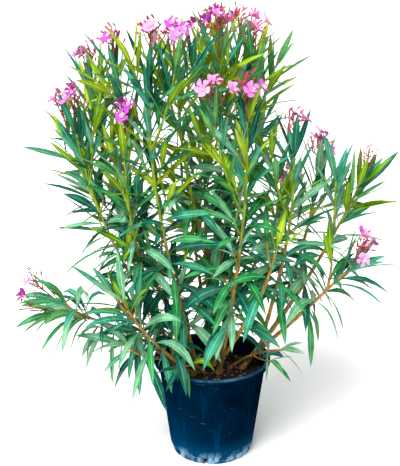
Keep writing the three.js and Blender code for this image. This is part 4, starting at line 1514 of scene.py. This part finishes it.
# The soil's surface: how far it has settled, how far it sinks to the wall and from where, its lumps as
# pairs of height and width, and its mesh.
SOIL = {
    "settled": 1.2,
    "sinks": 7,
    "sinks_from": 60,
    "lumps": ((2.6, 19), (1.6, 7.3), (0.9, 3.1)),
    "rings": 62,
    "sides": 180,
}


def soil_height(x, y):
    """The soil's surface in mm: it sinks towards the wall and is lumpy all over."""
    sunk = SOIL["sinks"] * smoothstep(math.hypot(x, y), SOIL["sinks_from"], SOIL_RADIUS)
    place = Vector((x, y, 3.7))
    lumps = sum(height * noise.noise(place / width) for height, width in SOIL["lumps"])
    return GROUND - SOIL["settled"] - sunk + lumps


def soil_body():
    """The bark mix: it fills the pot, and its surface is rings of a disc that are raised into lumps."""
    low, corner, top = POT["floor"] + GAP, POT["corner"], GROUND - 8
    rings = [
        (inner_radius(low) - GAP - 6, low),
        (inner_radius(corner) - GAP, corner),
        (inner_radius(top) - GAP - 0.3, top),
    ]
    rings += [(SOIL_RADIUS * share, top + 1) for share in np.linspace(0.985, 0.01, SOIL["rings"])]
    piece = turned_shell("soil_surface", rings, SOIL["sides"])
    for vertex in piece.data.vertices:
        x, y, z = (c / MM for c in vertex.co)
        if z > top + 0.5:
            vertex.co.z = soil_height(x, y) * MM
    smooth(piece, 60)
    return piece


def scattered(shape, count, seed, size):
    """Copies of a chip strewn over the soil, each tipped and then turned its own way."""
    random = np.random.default_rng(seed)
    out = np.sqrt(random.random(count)) * (SOIL_RADIUS - 6)
    angle = random.random(count) * 2 * math.pi
    x, y = out * np.cos(angle), out * np.sin(angle)
    z = np.array([soil_height(a, b) for a, b in zip(x, y)])
    sizes = size * (0.55 + 0.9 * random.random(count) ** 2)
    turn, tip = random.random(count) * 2 * math.pi, (random.random(count) - 0.5) * 1.3
    points = shape.points[None] * sizes[:, None, None]
    cosine, sine = np.cos(tip)[:, None], np.sin(tip)[:, None]
    tipped_x = points[..., 0] * cosine - points[..., 2] * sine
    tipped_z = points[..., 0] * sine + points[..., 2] * cosine
    cosine, sine = np.cos(turn)[:, None], np.sin(turn)[:, None]
    turned_x = tipped_x * cosine - points[..., 1] * sine
    turned_y = tipped_x * sine + points[..., 1] * cosine
    sunk = CHIP["sunk"] * sizes * CHIP["height"]
    return np.stack([turned_x + x[:, None], turned_y + y[:, None], tipped_z + (z - sunk)[:, None]], -1)


pot = pot_shell()
pot.data.materials.clear()
pot.data.materials.append(pot_finish())
whole(pot, "pot_plastic", "pot")

soil = soil_body()
soil.data.materials.append(soil_finish())
whole(soil, "soil_mix", "soil")

# Chips by colour: how many, their seed, their size in mm and their two colours. A third of them are
# copies of each of three chips.
CHIPS = [
    ("bark_chips_dark", 1500, 21, 2.5, (16, 9, 10), (44, 27, 27)),
    ("bark_chips_brown", 900, 22, 2.6, (46, 26, 22), (88, 54, 44)),
    ("bark_chips_pale", 150, 23, 1.9, (128, 96, 76), (186, 156, 126)),
]
for name, count, seed, size, dark, light in CHIPS:
    pile = Pile()
    for own_seed in range(seed * 10, seed * 10 + 3):
        shape = chip_shape(own_seed)
        pile.add_copies(shape, scattered(shape, count // 3, own_seed, size))
    whole(pile.made(name, [chip_finish(name, dark, light)], sharp=30), "soil_mix")

FIBRE = {"count": 120, "within": 0.68, "length": (7, 13), "sway": 2.5, "above": 1.4, "radius": 0.42}


def fibre_curve(random):
    """A bit of straw that lies on the soil with a slight sway."""
    x, y = (random.random(2) - 0.5) * 2 * (SOIL_RADIUS * FIBRE["within"])
    turn = random.random() * 360
    length = drawn(*FIBRE["length"], random)
    way = polar(turn, 1, 0)
    places = []
    for share in (0, 0.5, 1):
        sway = polar(turn + 90, FIBRE["sway"] * math.sin(3 * share + turn), 0)
        place = np.array([x, y, 0]) + way * length * share + sway
        place[2] = soil_height(place[0], place[1]) + FIBRE["above"]
        places.append(place)
    return Curve(*places)


fibres = Pile()
fibre_random = np.random.default_rng(31)
for _ in range(FIBRE["count"]):
    rings = limb_rings(fibre_curve(fibre_random), np.linspace(0, 1, 6), np.full(6, FIBRE["radius"]), UP, 5)
    fibres.add_tube(rings)
straw_finish = chip_finish("straw", (158, 120, 88), (220, 188, 146), 0.7)
whole(fibres.made("straw_fibres", [straw_finish]), "soil_mix")

# ---- floor, light and camera ----

world = bpy.data.worlds.new("studio")
bpy.context.scene.world = world
world.use_nodes = True
sky = world.node_tree.nodes["Background"]
sky.inputs["Color"].default_value = (0.97, 0.985, 1.0, 1)
sky.inputs["Strength"].default_value = 0.46

deselect()
bpy.ops.mesh.primitive_plane_add(size=60, location=(0, 0, cad_low.z - 0.0005))
floor = bpy.context.object
floor.name = "floor"
floor_finish = Finish("pale_floor", 0.7, specular=0.2)
floor_finish.paint(floor_finish.mixed(floor_finish.noise(3, 2), (249, 250, 251), (252, 252, 253)))
floor.data.materials.append(floor_finish.material)

middle = (cad_low + cad_high) / 2


def aimed(name, kind, azimuth, elevation, power, colour):
    """A studio lamp 3 m off, aimed at the plant's middle from degrees round it and above it."""
    data = bpy.data.lights.new(name, kind)
    data.energy, data.color = power, colour
    lamp = bpy.data.objects.new(name, data)
    bpy.context.scene.collection.objects.link(lamp)
    above = math.radians(elevation)
    way = Vector(polar(azimuth, math.cos(above), math.sin(above)))
    lamp.location = middle + way * 3
    lamp.rotation_euler = (-way).to_track_quat("-Z", "Y").to_euler()
    return data


aimed("key", "SUN", 238, 50, 5.5, (1.0, 0.98, 0.94)).angle = math.radians(42)
aimed("fill", "AREA", 320, 24, 12, (0.94, 0.97, 1.0)).size = 2.2
aimed("rim", "AREA", 100, 60, 30, (1.0, 1.0, 0.98)).size = 1.6

# The camera's place in metres, its pitch below level in degrees and its lens in mm.
CAMERA = {"beside": -0.0305, "away": 2.5, "above": 1.43, "pitch": 18.7, "lens": 83.43}
lens = bpy.data.cameras.new("view")
lens.lens, lens.sensor_width = CAMERA["lens"], 36
camera = bpy.data.objects.new("view", lens)
bpy.context.scene.collection.objects.link(camera)
camera.location = (CAMERA["beside"], -CAMERA["away"], CAMERA["above"])
camera.rotation_euler = (math.radians(90 - CAMERA["pitch"]), 0, 0)
bpy.context.scene.camera = camera
bpy.context.scene.view_settings.view_transform = "Standard"
